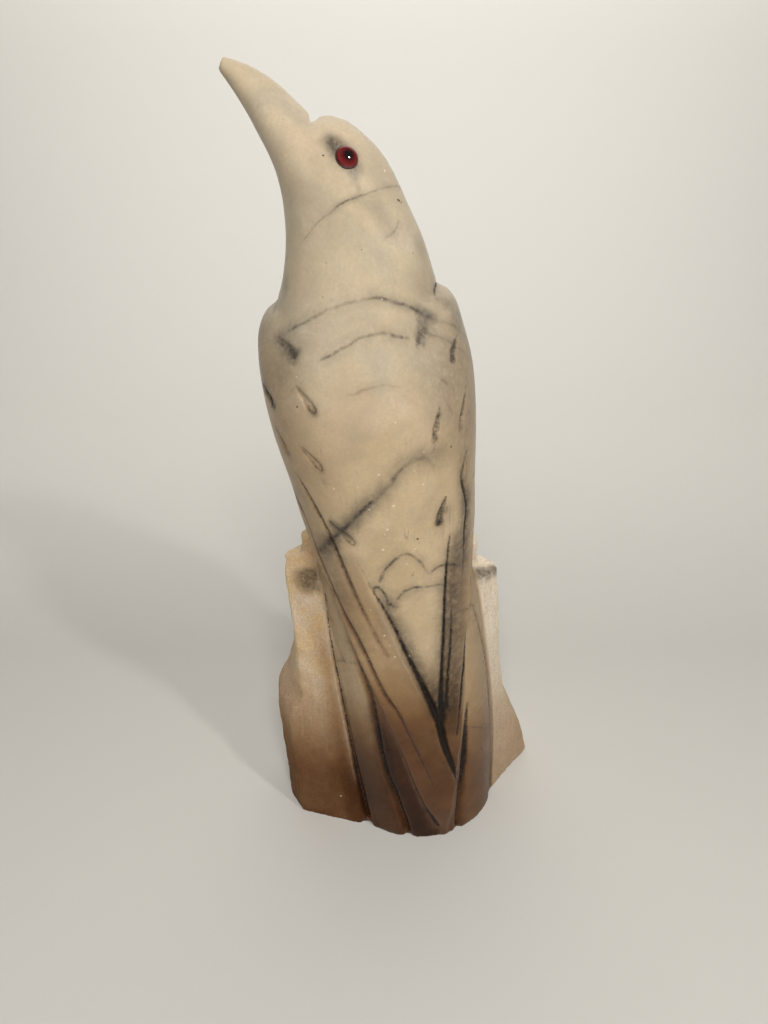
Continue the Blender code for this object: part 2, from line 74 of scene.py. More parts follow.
# Height, centre across and in depth, half width, half depth, squareness, turn in degrees
BIRD_SECTIONS = (
    (-4, 5.1, -11.2, 25.6, 20.4, 2, 12.5), (30, 2.5, -9.8, 26.7, 20.6, 2, 11),
    (60, -0.7, -8.1, 26.3, 21.3, 2, 9.5), (88, -4.4, -6.2, 25.3, 22.2, 2.1, 8),
    (106, -7, -5.2, 24.3, 22.6, 2.1, 8), (130, -10, -3.8, 25.2, 23.8, 2.1, 8),
    (150, -12.9, -2.5, 26.8, 24.8, 2.1, 8), (168, -15, -2, 26.2, 24.6, 2.1, 8),
    (180, -16.3, -1.5, 23.8, 22.6, 2, 6), (190, -16.6, -1, 20.3, 19.6, 2, 4),
    (200, -17.6, -0.5, 17.8, 16.8, 2, 0), (209, -19.9, 0, 15.7, 15, 2, 0),
    (216, -22.2, 0, 14.5, 13.6, 2, 0), (221, -23.4, 0, 12.2, 11.8, 2, 0), (225, -24, 0, 8.4, 8.6, 2, 0),
    (227.6, -23.8, 0, 4.2, 4.6, 2, 0), (228.4, -23.6, 0, 1.2, 1.4, 2, 0),
)
LEFT_WING_EDGE = (
    (-4, 5), (7, 1), (21, -10), (42, -19), (60, -28.3), (80, -39.3), (99, -52.8), (110, -66), (120, -75.5),
    (136, -100), (152, -115), (167, -118), (177, -110), (185, -96), (192, -84),
)
RIGHT_WING_EDGE = (
    (-4, 8), (5, 9.2), (17, 14), (33, 19.2), (50, 25.7), (69, 32.8), (82, 37.6), (91, 43.8), (105, 58.3),
    (118, 70), (134, 97), (150, 114), (168, 118), (180, 110), (188, 97), (193, 86),
)
MANTLE_RISE = (
    (-4, 0.2), (5, 1), (16, 2.2), (60, 2.3), (120, 2), (145, 2.5), (165, 3.3), (182, 3.6),
)


def curve(table, at, column=1):
    """A smooth curve through the rows of a table, read at many places along its first column."""
    rows = np.array(table, float)
    knots, values = rows[:, 0], rows[:, column]
    rises = np.append(values[1:], values[-1]) - np.append(values[0], values[:-1])
    slopes = rises / (np.append(knots[1:], knots[-1]) - np.append(knots[0], knots[:-1]))
    at = np.clip(at, knots[0], knots[-1])
    i = np.clip(np.searchsorted(knots, at, "right") - 1, 0, len(knots) - 2)
    span = knots[i + 1] - knots[i]
    t = (at - knots[i]) / span
    return (values[i] * (1 + 2 * t) * (1 - t) ** 2 + values[i + 1] * (3 - 2 * t) * t ** 2
            + span * (slopes[i] * t * (1 - t) ** 2 - slopes[i + 1] * (1 - t) * t ** 2))


def ease(share):
    """Eases a share in and out between 0 and 1."""
    share = np.clip(share, 0.0, 1.0)
    return share * share * (3 - 2 * share)


def section_at(height):
    """Centre, half width and depth, squareness and cosine and sine of the turn of the bird at heights."""
    *values, turn = (curve(BIRD_SECTIONS, height, column) for column in range(1, 7))
    return *values, np.cos(np.radians(turn)), np.sin(np.radians(turn))


def signed_power(value, power):
    """A value raised to a power with its sign kept."""
    return np.sign(value) * np.abs(value) ** power


def bird_points(degrees, height, proud=0.0):
    """Points at an angle round the bird and a height, proud of its skin."""
    degrees, height = np.broadcast_arrays(np.asarray(degrees, float), np.asarray(height, float))
    across, depth, half_width, half_depth, squareness, turn_cos, turn_sin = section_at(height)
    sine, cosine = np.sin(np.radians(degrees)), np.cos(np.radians(degrees))
    side = signed_power(sine, 2 / squareness) * half_width + sine * proud
    back = signed_power(cosine, 2 / squareness) * half_depth + cosine * proud
    return np.stack((across + side * turn_cos + back * turn_sin,
                     depth + side * turn_sin - back * turn_cos, height), axis=-1)


def mantle_rise(degrees, height):
    """How far the wings stand proud: rounded off at the shoulders, faded out up the nape."""
    lean = (1 + np.sin(np.radians(degrees))) / 2
    top = LEFT_SHOULDER_HEIGHT + (RIGHT_SHOULDER_HEIGHT - LEFT_SHOULDER_HEIGHT) * lean
    rounding = LEFT_SHOULDER_ROUND + (RIGHT_SHOULDER_ROUND - LEFT_SHOULDER_ROUND) * lean
    share = np.clip((top - height) / rounding, 0.0, 1.0)
    rise = MANTLE_SUNK + (curve(MANTLE_RISE, height) - MANTLE_SUNK) * np.sqrt(1 - (1 - share) ** 2)
    nape = np.where(degrees > 0, NAPE_RIGHT_DEGREES, NAPE_LEFT_DEGREES)
    flank = ease((np.abs(degrees) - nape + NAPE_SOFT_DEGREES) / NAPE_SOFT_DEGREES)
    fade = ease((height - NAPE_FADE_START) / (top - NAPE_FADE_START)) * (1 - flank)
    fade = np.where(height > top, 1.0, fade)
    return np.maximum(rise + (MANTLE_SUNK - rise) * fade, 0.0)


def skin_rise(degrees, height):
    """How proud the skin is of the plain body: the mantle inside the wings' edges, nothing outside."""
    inside = ease(0.5 + (degrees - curve(LEFT_WING_EDGE, height)) / EDGE_SOFT_DEGREES / 2)
    inside = inside * ease(0.5 + (curve(RIGHT_WING_EDGE, height) - degrees) / EDGE_SOFT_DEGREES / 2)
    return mantle_rise(degrees, height) * inside


def on_skin(degrees, height):
    """Points of the carved skin."""
    degrees, height = np.broadcast_arrays(np.asarray(degrees, float), np.asarray(height, float))
    return bird_points(degrees, height, skin_rise(degrees, height))


def loft_shell(rings):
    """A closed shell from equal rings of points: its points and its faces."""
    rows, columns = len(rings), len(rings[0])
    points = np.concatenate(rings)
    faces = []
    for row in range(rows - 1):
        for column in range(columns):
            here, beside = row * columns + column, row * columns + (column + 1) % columns
            faces.append((here, beside, beside + columns, here + columns))
    faces.append(tuple(reversed(range(columns))))
    faces.append(tuple(range((rows - 1) * columns, rows * columns)))
    return points, faces


around_the_bird = np.linspace(-180.0, 180.0, SKIN_COLUMNS, endpoint=False)
crown = BIRD_SECTIONS[-1][0]
skin_heights = np.append(np.arange(0.0, crown - SKIN_ROW / 2, SKIN_ROW), crown)
shells = [loft_shell([on_skin(around_the_bird, height) for height in skin_heights])]

# The beak
# Part of the same block: a long, decurved beak with soft diamond sections and a blunt tip.
BEAK_COLUMNS, BEAK_RINGS, BEAK_ROUNDING = 72, 60, 1.15
# Share of the length; across and height of the upper and of the lower edge; half thickness
BEAK_SECTIONS = (
    (0, -19, 221, -32.8, 203.4, 11.8), (0.2, -25.8, 226.8, -37.7, 218, 10.6),
    (0.4, -30.4, 231, -40.9, 225, 7.8), (0.6, -35.7, 235.6, -43.4, 229.8, 5.5),
    (0.8, -41.1, 238.7, -46.2, 234.3, 3.7), (1, -47.4, 240.8, -48.8, 238, 1.8),
)
beak_turn = np.linspace(0.0, 2 * math.pi, BEAK_COLUMNS, endpoint=False)
beak_rings = []
for share in np.linspace(0.0, 1.0, BEAK_RINGS):
    upper_x, upper_z, lower_x, lower_z, thickness = (
        float(curve(BEAK_SECTIONS, share, column)) for column in range(1, 6))
    middle = np.array(((upper_x + lower_x) / 2, 0.0, (upper_z + lower_z) / 2))
    upward = np.array((upper_x, 0.0, upper_z)) - middle
    sideways = signed_power(np.sin(beak_turn), BEAK_ROUNDING) * thickness
    beak_rings.append(middle + np.outer(np.cos(beak_turn), upward) + np.outer(sideways, (0.0, 1.0, 0.0)))
shells.append(loft_shell(beak_rings))

# The stump
# The lower part of the block, left as the point chisel hewed it: flat, scraped faces that meet in
# chipped arrises, a broken-out flank on its left, and a taller stub against the bird's breast.
STUMP_ROW = 2.0
STUMP_TOP, STUMP_LEFT_HEIGHT, STUMP_RIGHT_HEIGHT = 104.0, 100.5, 94.5
STUB_FOOT, STUB_LEFT_HEIGHT, STUB_RIGHT_HEIGHT = 60.0, 107.5, 103.5
# The direction each face looks in, in degrees from the bird's back, and its distance by height
STUMP_FACES = {
    "back": (-170, ((0, 31), (60, 29), (104, 26.4))),
    "back_left": (-128, ((0, 41), (40, 40), (58, 37), (104, 35))),
    "left": (-84, ((0, 46.2), (35, 47.6), (44, 48.4), (50, 47.6), (56, 43.8), (66, 41.2), (84, 40.4),
        (94, 41.6), (104, 42.4))),
    "left_corner": (-60, ((0, 45.2), (35, 45.6), (44, 45.6), (50, 44.6), (56, 41.6), (104, 41))),
    "front_left": (-15, ((0, 30.2), (80, 25.3), (104, 20.4))),
    "front": (16, ((0, 25), (104, 20))),
    "front_right": (50, ((0, 30.4), (30, 27.8), (62, 25.2), (80, 24.6), (104, 20.6))),
    "right": (97, ((0, 48.1), (15, 44.8), (25, 41.2), (35, 37.2), (46, 33.6), (63, 30.6), (76, 29.4),
        (104, 27.6))),
    "back_right": (140, ((0, 43), (25, 36), (50, 30), (76, 24.6), (104, 21.6))),
}
STUB_FACES = {name: (degrees, ((STUB_FOOT, reach), (STUB_LEFT_HEIGHT, reach))) for name, degrees, reach in (
    ("back", -165, 22.4), ("back_left", -120, 34.6), ("left", -88, 37), ("front_left", -30, 17),
    ("front_right", 25, 6), ("right", 88, 20.8), ("back_right", 145, 19.2))}


def block_top(left_top, right_top, across):
    """The height of the sloping top of a block at a place across."""
    left, right = -STUMP_FACES["left"][1][-1][1], STUMP_FACES["right"][1][-1][1]
    return left_top + (right_top - left_top) * (across - left) / (right - left)


def face_normal(face):
    """The level direction that a hewn face looks in."""
    angle = math.radians(face[0])
    return np.array((math.sin(angle), -math.cos(angle), 0.0))


def face_reach(face, height):
    """How far a hewn face stands from the middle of the block at a height."""
    return np.interp(height, *zip(*face[1]))


def hewn_shell(faces, low, high, left_top, right_top):
    """A block with flat faces that meet in arrises, and a top that slopes to the right."""
    rings = []
    for level in np.linspace(low, high, round((high - low) / STUMP_ROW) + 1):
        lines = [(face_normal(face), face_reach(face, level)) for face in faces.values()]
        share = (level - low) / (high - low)
        ring = []
        for (a, reach_a), (b, reach_b) in zip(lines, lines[1:] + lines[:1]):
            cross = a[0] * b[1] - a[1] * b[0]
            x = (reach_a * b[1] - reach_b * a[1]) / cross
            y = (a[0] * reach_b - b[0] * reach_a) / cross
            ring.append((x, y, level + share * (block_top(left_top, right_top, x) - high)))
        rings.append(np.array(ring))
    return loft_shell(rings)


shells.append(hewn_shell(STUMP_FACES, 0.0, STUMP_TOP, STUMP_LEFT_HEIGHT, STUMP_RIGHT_HEIGHT))
shells.append(hewn_shell(STUB_FACES, STUB_FOOT, STUB_LEFT_HEIGHT, STUB_LEFT_HEIGHT, STUB_RIGHT_HEIGHT))

# The toes
# Three plain toes on each foot, left standing on the stub and hooked over its far edge.
TOE_COLUMNS, TOE_RINGS = 24, 25
TOE_RADIUS, TOE_SPREAD, FOOT_SPREAD, FEET_MIDDLE = 2.1, 3.2, 21.0, -5.0
TOES_APART = 0.8 * TOE_RADIUS
# Share along; share of the splay; place behind the edge and above the top; share of the radius
TOE_COURSE = (
    (0, 0, -12, -1, 1), (0.25, 0.4, -6, 0.9, 1), (0.5, 1, -0.6, 0.3, 0.95), (0.75, 1.1, 0.9, -3, 0.8),
    (1, 1.1, 0.2, -6, 0.4),
)
toe_paths = []
for foot in (-1, 1):
    for number in (-1, 0, 1):
        across = FEET_MIDDLE + foot * FOOT_SPREAD / 2 + number * TOES_APART
        splay = number * TOE_SPREAD
        behind = [face for face in STUB_FACES.values() if face_normal(face)[1] > 0]
        edge = min((face_reach(face, STUB_FOOT) - face_normal(face)[0] * (across + splay))
                   / face_normal(face)[1] for face in behind)
        top = block_top(STUB_LEFT_HEIGHT, STUB_RIGHT_HEIGHT, across)
        shares = np.linspace(0.0, 1.0, TOE_RINGS)
        spread, back, lift, thick = (curve(TOE_COURSE, shares, column) for column in range(1, 5))
        path = np.stack((across + splay * spread, edge + back, top + lift), axis=1)
        flat = np.array((TOE_COURSE[0][2], splay, 0.0))
        flat /= np.linalg.norm(flat)
        ways = np.gradient(path, axis=0)
        turns = np.linspace(0.0, 2 * math.pi, TOE_COLUMNS, endpoint=False)
        rings = []
        for point, way, share in zip(path, ways, thick):
            upright = np.cross(flat, way)
            upright /= np.linalg.norm(upright)
            rings.append(point + TOE_RADIUS * share
                         * (np.outer(np.cos(turns), flat) + np.outer(np.sin(turns), upright)))
        shells.append(loft_shell(rings))
        toe_paths.append(path)

# The one block, and the cuts in it
# Everything above is one stone. The feathers are marked with V cuts along the folded wings and the
# tail and with small teardrop cuts on the shoulders, made with a narrow chisel and left rough.
VOXEL = 0.5
# How often the skin is evened out once everything is fused, and once it is cut
FUSED_RUBS, CUT_RUBS = 6, 3
# A cut's edges are worn: share of its depth, and how far out in half widths
CUT_WEAR, CUT_WEAR_REACH, CUT_SEARCH = 0.2, 2.0, 1.2
# Shares of a cut over which its lift grows and ends, and how near a hewn face a point counts as on it
LIFT_GROWS, LIFT_ENDS, FACE_REACH = 0.25, 0.2, 6.0
# Each cut: path as degrees and height; widths and depths; how far and how darkly grime and painted shade fill
# it; rust
CUTS = {
    "left_inner_edge": (((-27, 118), (-20.5, 109.5), (-14.9, 102.7), (-9.6, 94.9), (-5.8, 86.7),
        (-1.3, 77.2), (3.4, 67.1), (9, 55.8)), (0.5, 1.3, 2, 2.6, 3.6), (0.15, 0.9, 1.5, 1.9, 2.6),
        (0.25, 0.35, 0.45, 0.6, 1.2), (0.25, 0.7, 0.85, 0.95, 1), 0),
    "left_over_right": (((9, 56.5), (10.3, 45.5), (12.7, 38.6), (17, 27.5)), (3.6, 2.8, 2), (2.5, 2, 1.4),
        (1.3, 1, 0.6), (1, 1, 0.9), 0),
    "right_inner_edge": (((33.4, 123.8), (31.5, 119.6), (26.4, 105.8), (21.6, 93.6), (16.4, 79.9),
        (12.1, 64.3), (11.4, 56)), (0.6, 1.2, 1.6, 2.2, 3.4), (0.3, 0.8, 1.2, 1.6, 2.3),
        (0.3, 0.35, 0.35, 0.45, 1.1), (0.5, 0.85, 0.95, 1, 1), 0),
    "right_inner_crackle": (((30.4, 103), (27.7, 96.5), (25.5, 91.4), (22.6, 84.3), (19.3, 77),
        (16.7, 69.4), (14.6, 61.5)), (0.5, 1, 1, 1.2), (0.2, 0.4, 0.5, 0.6), (0.3, 0.4, 0.5, 0.6),
        (0.3, 0.75, 0.9, 1), 0),
    "left_feather_outer": (((-77, 131), (-67, 126), (-61, 115.8), (-47.2, 99.6), (-35.1, 87.8),
        (-23.9, 68.9), (-17.1, 61.1), (-10, 47.4), (-0.6, 28.5)), (1, 2, 2.4, 1.8, 1),
        (0.4, 1, 1.2, 0.9, 0.4), (0.45, 0.45, 0.4, 0.4, 0.35), (0.45, 0.52, 0.52, 0.55, 0.6), 1),
    "left_feather_inner": (((-58.9, 141.3), (-54.8, 137.9), (-46.1, 127.2), (-42.1, 121.3), (-33.4, 106.8),
        (-26.6, 97.6), (-16.6, 84.6)), (0.9, 2, 2.2, 1.6, 0.6), (0.3, 0.9, 1.1, 0.7, 0.2),
        (0.4, 0.6, 0.6, 0.5, 0.4), (0.35, 0.62, 0.68, 0.5, 0.3), 0.5),
    "right_feather_outer": (((54, 104), (49, 97), (40.8, 89.6), (35, 81.8), (30.9, 74), (26.9, 66.1),
        (23.2, 57.7), (19.4, 48.6)), (0.8, 1.3, 1.4, 0.7), (0.4, 0.8, 0.9, 0.3), (0.3, 0.4, 0.4, 0.25),
        (0.6, 0.95, 1, 0.8), 0.8),
    "right_feather_upper": (((54.6, 148.1), (49.3, 143.9), (46.6, 139.1), (50.8, 133.4), (53, 129.2),
        (50.2, 123.5), (47, 116.2), (43.5, 108)), (0.6, 1.6, 2, 1.6, 0.7), (0.3, 0.8, 1.1, 0.8, 0.3),
        (0.3, 0.5, 0.6, 0.5, 0.3), (0.4, 0.6, 0.85, 0.75, 0.5), 0),
    # Along the wings' edges the dark band is painted shade where the wing steps down to the tail
    "left_wing_edge": (((-64, 110), (-52.8, 99), (-39.3, 80), (-28.3, 60), (-19, 42), (-10, 21), (1, 6)),
        (0.8, 1, 1), (0.3, 0.4, 0.4), (0.5, 0.7, 0.9), (0.3, 0.55, 0.6, 0.8), 0.9),
    "right_wing_edge": (((70, 118), (62, 109), (55, 101.5)), (0.9, 1.1, 0.7), (0.4, 0.5, 0.3),
        (0.3, 0.4, 0.3), (0.5, 0.8, 0.6), 0.4),
    "tail_left": (((-46, 86), (-41.5, 73), (-38, 63.6), (-37.5, 51), (-37.2, 39.6), (-35, 28.8),
        (-30.8, 19.8), (-23.4, 0)), (1.2, 2.2, 2.8, 3.6), (0.6, 1.4, 1.9, 2.8), (0.4, 0.6, 0.8, 0.8),
        (0.3, 0.7, 0.9, 0.6), 0.4),
    "tail_right": (((35.5, 57), (32.4, 50.5), (30, 42.7), (27.5, 34), (24.5, 25.1), (21.9, 16.8), (18, 0)),
        (0.9, 2.6, 3), (0.4, 1.8, 2), (0.4, 1.1, 0.7), (0.6, 1, 0.55), 0.3),
    "left_shoulder": (((-108, 184.2), (-92, 184.8), (-76, 183.2)), (0.8, 1.2, 0.5), (0.3, 0.5, 0.1),
        (0.3, 0.5, 0.3), (0.4, 0.6, 0.4), 0.3),
    "right_shoulder": (((108, 187.4), (88, 188.8), (70, 188.8), (58, 187)), (0.8, 1.2, 1.1, 0.5),
        (0.3, 0.5, 0.5, 0.1), (0.3, 0.4, 0.4, 0.2), (0.4, 0.7, 0.8, 0.4), 0.3),
}
# Cuts between the tail and the hewn faces: face, path as across and height, and the same values
RIM_CUTS = {
    "tail_left_rim": ("front_left", ((-28.4, 96), (-26.7, 77.7), (-24.2, 59.4), (-21.3, 37.7), (-18.5, 17),
        (-16.2, 0)), (1.3, 1.8, 2, 4.6), (1.2, 1.7, 1.9, 4.2), (0.22, 0.24, 0.26, 0.5),
        (0.7, 0.9, 0.8, 0.35), 0.3),
    "tail_right_rim": ("front_right", ((18, 92), (23.1, 71.2), (25.8, 53.2), (28.1, 30.6), (29, 10.7),
        (28.6, 0)), (1.2, 1.6, 2, 2.6), (1, 1.5, 1.7, 2.2), (0.2, 0.22, 0.25, 0.4), (0.5, 0.7, 0.6, 0.45),
        0.2),
}
# Where a chisel left one side of a cut higher: rise on its left, rise on its right, and how far each goes
LIFTS = {
    "left_inner_edge": (0.55, -0.25, 4.5), "left_feather_outer": (-0.15, 0.4, 3.5),
    "left_feather_inner": (0, 0.3, 2.5), "right_inner_edge": (-0.1, 0.3, 3),
    "right_feather_outer": (0.3, -0.1, 2), "tail_left": (0.3, -0.3, 4), "tail_right": (-0.2, 0.3, 3.5),
    "left_over_right": (0.35, -0.2, 2.5),
}
# The crease where the beak meets the brow, as drawn points, and its cut
BROW_CREASE = (
    (-27.8, -5, 227.2), (-27.2, -1.5, 227.6), (-27.2, 2, 227.2), (-27.5, 5.5, 226.8), (-28.2, 9, 226),
)
BROW_CUT = (
    (0.8, 2, 2.8, 2.8, 1.4), (0.2, 0.9, 2, 2, 0.4), (0.1, 0.3, 0.45, 0.45, 0.2), (0, 0.4, 0.95, 0.95, 0.3),
    0,
)
# Where the beak was blended into the cheeks: the middle of the place on each side, and its reach
BEAK_ROOT, BEAK_ROOT_REACH, BEAK_ROOT_STEEPNESS = (-32.0, 9.0, 217.5), 14.0, 1.8
# Rounds of rubbing there, rubs in each round, and how far each rub goes
BEAK_ROOT_ROUNDS, BEAK_ROOT_RUBS, BEAK_ROOT_RUB = 11, 10, 0.6
# Teardrop cuts from the thin end to the round end: how deep, how dark the grime in them is, how far it
# spreads, and whether only their outline has darkened
CHIPS = (
    ((-61, 178.4), (-48.5, 175.7), 0.6, 0.48, 1.3, False),
    ((-78.8, 164.8), (-65.5, 161.2), 0.8, 0.62, 1.2, False),
    ((-45.5, 169), (-33.2, 163.2), 0.8, 0.32, 0.7, True),
    ((-69.5, 154.5), (-60.9, 147.4), 0.7, 0.3, 0.7, True),
    ((-46.8, 152.3), (-35.8, 146.4), 0.7, 0.26, 0.6, True),
    ((-42.1, 130.3), (-26.6, 123.7), 0.7, 0.32, 0.7, True),
    ((39.5, 182.1), (31.5, 178.6), 0.4, 0.36, 1.2, False),
    ((58.1, 178), (48.6, 173.3), 0.8, 0.48, 0.9, False),
    ((54.8, 165.5), (45.6, 154.6), 0.8, 0.52, 0.6, False),
    ((30.5, 162.9), (25.5, 154.3), 0.8, 0.52, 0.8, False), ((84, 160.1), (82, 151.8), 0.8, 0.64, 1, False),
    ((31.3, 136.2), (25, 128.8), 1, 0.62, 1, False),
)
CHIP_WIDTHS = (0.5, 1.2, 1.9, 2.6, 1.4)
CHIP_DEPTHS = (0.3, 0.7, 1.1, 1.4, 0.4)
CHIP_GRIME = (0.4, 1.0, 1.3)


def mesh_from(name, points, faces):
    """An object with a mesh, from points in metres."""
    mesh = bpy.data.meshes.new(name)
    mesh.from_pydata(points, [], faces)
    made = bpy.data.objects.new(name, mesh)
    scene.collection.objects.link(made)
    return made


def apply_all(thing):
    """Turns what an object's modifiers make into its plain mesh, and takes the modifiers off."""
    bpy.context.view_layer.update()
    graph = bpy.context.evaluated_depsgraph_get()
    result = bpy.data.meshes.new_from_object(thing.evaluated_get(graph), depsgraph=graph)
    thing.modifiers.clear()
    thing.data = result


def remeshed(thing):
    """Fuses everything in an object into one closed skin of even small faces."""
    modifier = thing.modifiers.new("fuse", 'REMESH')
    modifier.mode = 'VOXEL'
    modifier.voxel_size = VOXEL * MM
    apply_all(thing)


def read_all(items, name, kind, size):
    """One property of all the items of a mesh, a row for each."""
    flat = np.empty(len(items) * size, kind)
    items.foreach_get(name, flat)
    return flat.reshape(-1, size)


def drawn_points(thing):
    """The vertices of an object in drawn millimetres."""
    return read_all(thing.data.vertices, "co", np.float32, 3).astype(float) / MM


def move_to(thing, points):
    """Puts an object's vertices at drawn points."""
    thing.data.vertices.foreach_set("co", (points * MM).astype(np.float32).ravel())
    thing.data.update()


def normals_of(thing):
    """The outward direction at each vertex."""
    return read_all(thing.data.vertex_normals, "vector", np.float32, 3).astype(float)


def sanded(thing, points, times, share=0.5, swell=1.04):
    """Points evened out with their neighbours, a number of times, and swelled back each time."""
    one, other = read_all(thing.data.edges, "vertices", np.int32, 2).T
    count = np.bincount(one, minlength=len(points)) + np.bincount(other, minlength=len(points))
    count = np.maximum(count, 1)[:, None]
    for _ in range(times):
        for step in (share, -share * swell)[:2 if swell else 1]:
            total = [np.bincount(one, points[other, axis], len(points))
                     + np.bincount(other, points[one, axis], len(points)) for axis in range(3)]
            points = points + (np.stack(total, axis=1) / count - points) * step
    return points


def even_path(knots, spacing=0.8):
    """Even small steps along a smooth path through knots of two values."""
    knots = np.array(knots, float)
    shares = np.arange(len(knots))
    table = np.column_stack((shares, knots))
    steps = max(8, round(np.abs(np.diff(knots, axis=0)).sum() / spacing))
    at = np.linspace(0, len(knots) - 1, steps + 1)
    return np.stack([curve(table, at, column) for column in (1, 2)], axis=1)


def along_values(values, share):
    """Evenly spaced values read at shares of their run."""
    return np.interp(share, np.linspace(0.0, 1.0, len(values)), values)


def nearest(points, normals, path, reach):
    """Which points lie within reach of a path, how far off, at which share of it and on which side."""
    low, high = path.min(axis=0) - reach, path.max(axis=0) + reach
    near = np.flatnonzero(((points > low) & (points < high)).all(axis=1))
    local, facing = points[near], normals[near]
    gap, place, side = np.full(len(near), np.inf), np.zeros(len(near)), np.ones(len(near))
    for number, (start, end) in enumerate(zip(path, path[1:])):
        way = end - start
        share = np.clip((local - start) @ way / (way @ way), 0.0, 1.0)
        offset = local - start - share[:, None] * way
        distance = np.linalg.norm(offset, axis=1)
        closer = distance < gap
        gap[closer] = distance[closer]
        place[closer] = (number + share[closer]) / (len(path) - 1)
        turn = (np.cross(way, offset[closer]) * facing[closer]).sum(axis=1)
        side[closer] = np.where(turn < 0, 1.0, -1.0)
    inside = gap < reach
    return near[inside], gap[inside], place[inside], side[inside]


def face_depth(face, across, height):
    """How deep a hewn face lies at places across and heights."""
    normal = face_normal(face)
    return (face_reach(face, height) - normal[0] * across) / normal[1]


def face_path(face, knots):
    """A path on a hewn face of the stump, through places across and heights."""
    across, height = even_path(knots).T
    return np.stack((across, face_depth(face, across, height), height), axis=1)


def onto_face(points, face):
    """Points brought in depth onto a hewn face, where they lie within a few millimetres of it."""
    depth = face_depth(face, points[:, 0], points[:, 2])
    depth = np.where(np.abs(points[:, 1] - depth) < FACE_REACH, depth, points[:, 1])
    return np.column_stack((points[:, 0], depth, points[:, 2]))


NO_LIFT = (0.0, 0.0, 1.0)
cut_lines = []
for cut_name, (path, *cut) in CUTS.items():
    cut_lines.append((on_skin(*even_path(path).T), *cut, LIFTS.get(cut_name, NO_LIFT), "skin"))
for face_name, path, *cut in RIM_CUTS.values():
    cut_lines.append((face_path(STUMP_FACES[face_name], path), *cut, NO_LIFT, face_name))
for thin_end, round_end, depth, grime_and_shade, spread, _ in CHIPS:
    line = on_skin(*even_path((thin_end, round_end)).T)
    depths = [value * depth for value in CHIP_DEPTHS]
    spreads = [value * spread for value in CHIP_GRIME]
    cut_lines.append((line, CHIP_WIDTHS, depths, spreads, (grime_and_shade,) * 2, 0.0, NO_LIFT, "skin"))
all_points, all_faces, first = [], [], 0
for points, faces in shells:
    all_points.append(points)
    all_faces += [tuple(first + corner for corner in face) for face in faces]
    first += len(points)
block = mesh_from("veined_alabaster_block", (np.concatenate(all_points) * MM).tolist(), all_faces)
remeshed(block)
skin = sanded(block, drawn_points(block), FUSED_RUBS)
root_gap = np.linalg.norm(np.column_stack((skin[:, 0], np.abs(skin[:, 1]), skin[:, 2])) - BEAK_ROOT, axis=1)
root_share = ease(BEAK_ROOT_STEEPNESS * (1 - root_gap / BEAK_ROOT_REACH))[:, None]
for _ in range(BEAK_ROOT_ROUNDS):
    skin = skin + root_share * (sanded(block, skin, BEAK_ROOT_RUBS, BEAK_ROOT_RUB, 0.0) - skin)
move_to(block, skin)
facing = normals_of(block)
brow_line = np.array([skin[np.argmin(np.linalg.norm(skin - place, axis=1))] for place in BROW_CREASE])
cut_lines.append((brow_line, *BROW_CUT, NO_LIFT, "brow"))
sunk = np.zeros(len(skin))
lifted = np.zeros(len(skin))
for line, widths, depths, _, _, _, (left_lift, right_lift, lift_reach), _ in cut_lines:
    near, gap, place, side = nearest(skin, facing, line, max(max(widths) * CUT_SEARCH, lift_reach))
    half = along_values(widths, place) / 2
    depth = along_values(depths, place)
    valley = depth * np.clip(1 - gap / half, 0.0, 1.0)
    valley = valley + CUT_WEAR * depth * ease(1 - gap / half / CUT_WEAR_REACH)
    sunk[near] = np.maximum(sunk[near], valley)
    taper = ease(place / LIFT_GROWS) * ease((1 - place) / LIFT_ENDS)
    lifted[near] += np.where(side > 0, left_lift, right_lift) * (1 - ease(gap / lift_reach)) * taper
move_to(block, skin + facing * (lifted - sunk)[:, None])
remeshed(block)

# The hewn faces of the stump
# A tree of nodes gives the hewn faces their relief: upright flutes from the flat chisel, shallow
# shell-shaped chips, and worn, crumbled arrises. It works only where the stone was left hewn.
HEWN_TOP, HEWN_TOP_SOFT, HEWN_START, HEWN_SOFT = 109.0, 2.0, 0.2, 1.2
# How far round a toe's middle line nothing is hewn
TOE_SEARCH, TOE_BARE, TOE_SOFT = 5.0, 2.0, 1.5
# How an arris is found: rubs, how far each goes, and how far it is rubbed down where it is sharp
ARRIS_RUBS, ARRIS_RUB, ARRIS_RUBBED_DOWN = 14, 0.9, 0.6
# The level of each pattern that leaves the skin where it is; then how steeply wear cuts in, how its seed
# differs, and the most that the relief may rise
FLUTE_LEVEL, CHIP_LEVEL, GRAIN_LEVEL, WEAR_LEVEL = 0.62, 0.75, 0.5, 0.42
WEAR_STEEPNESS, WEAR_SEED_STEP, MOST_PROUD = -3.2, 7.0, 0.0002
block_points = sanded(block, drawn_points(block), CUT_RUBS)
move_to(block, block_points)


def skin_place(points):
    """Each point's angle round the bird, its height, and how far it lies outside the carved skin."""
    height = points[:, 2]
    across, depth, half_width, half_depth, squareness, turn_cos, turn_sin = section_at(height)
    from_x, from_y = points[:, 0] - across, points[:, 1] - depth
    side = from_x * turn_cos + from_y * turn_sin
    back = from_x * turn_sin - from_y * turn_cos
    sine = signed_power(side / half_width, squareness / 2)
    cosine = signed_power(back / half_depth, squareness / 2)
    degrees = np.degrees(np.arctan2(sine, cosine))
    out = np.hypot(side, back) * (1 - 1 / np.maximum(np.hypot(sine, cosine), 0.01))
    return degrees, height, out - skin_rise(degrees, height)


def hewn_share(points):
    """1 where the stone was left hewn, 0 on the bird and the toes."""
    _, height, out = skin_place(points)
    share = ease((out - HEWN_START) / HEWN_SOFT) * ease((HEWN_TOP - height) / HEWN_TOP_SOFT)
    for path in toe_paths:
        near, gap, _, _ = nearest(points, points, path, TOE_SEARCH)
        share[near] *= ease((gap - TOE_BARE) / TOE_SOFT)
    return share


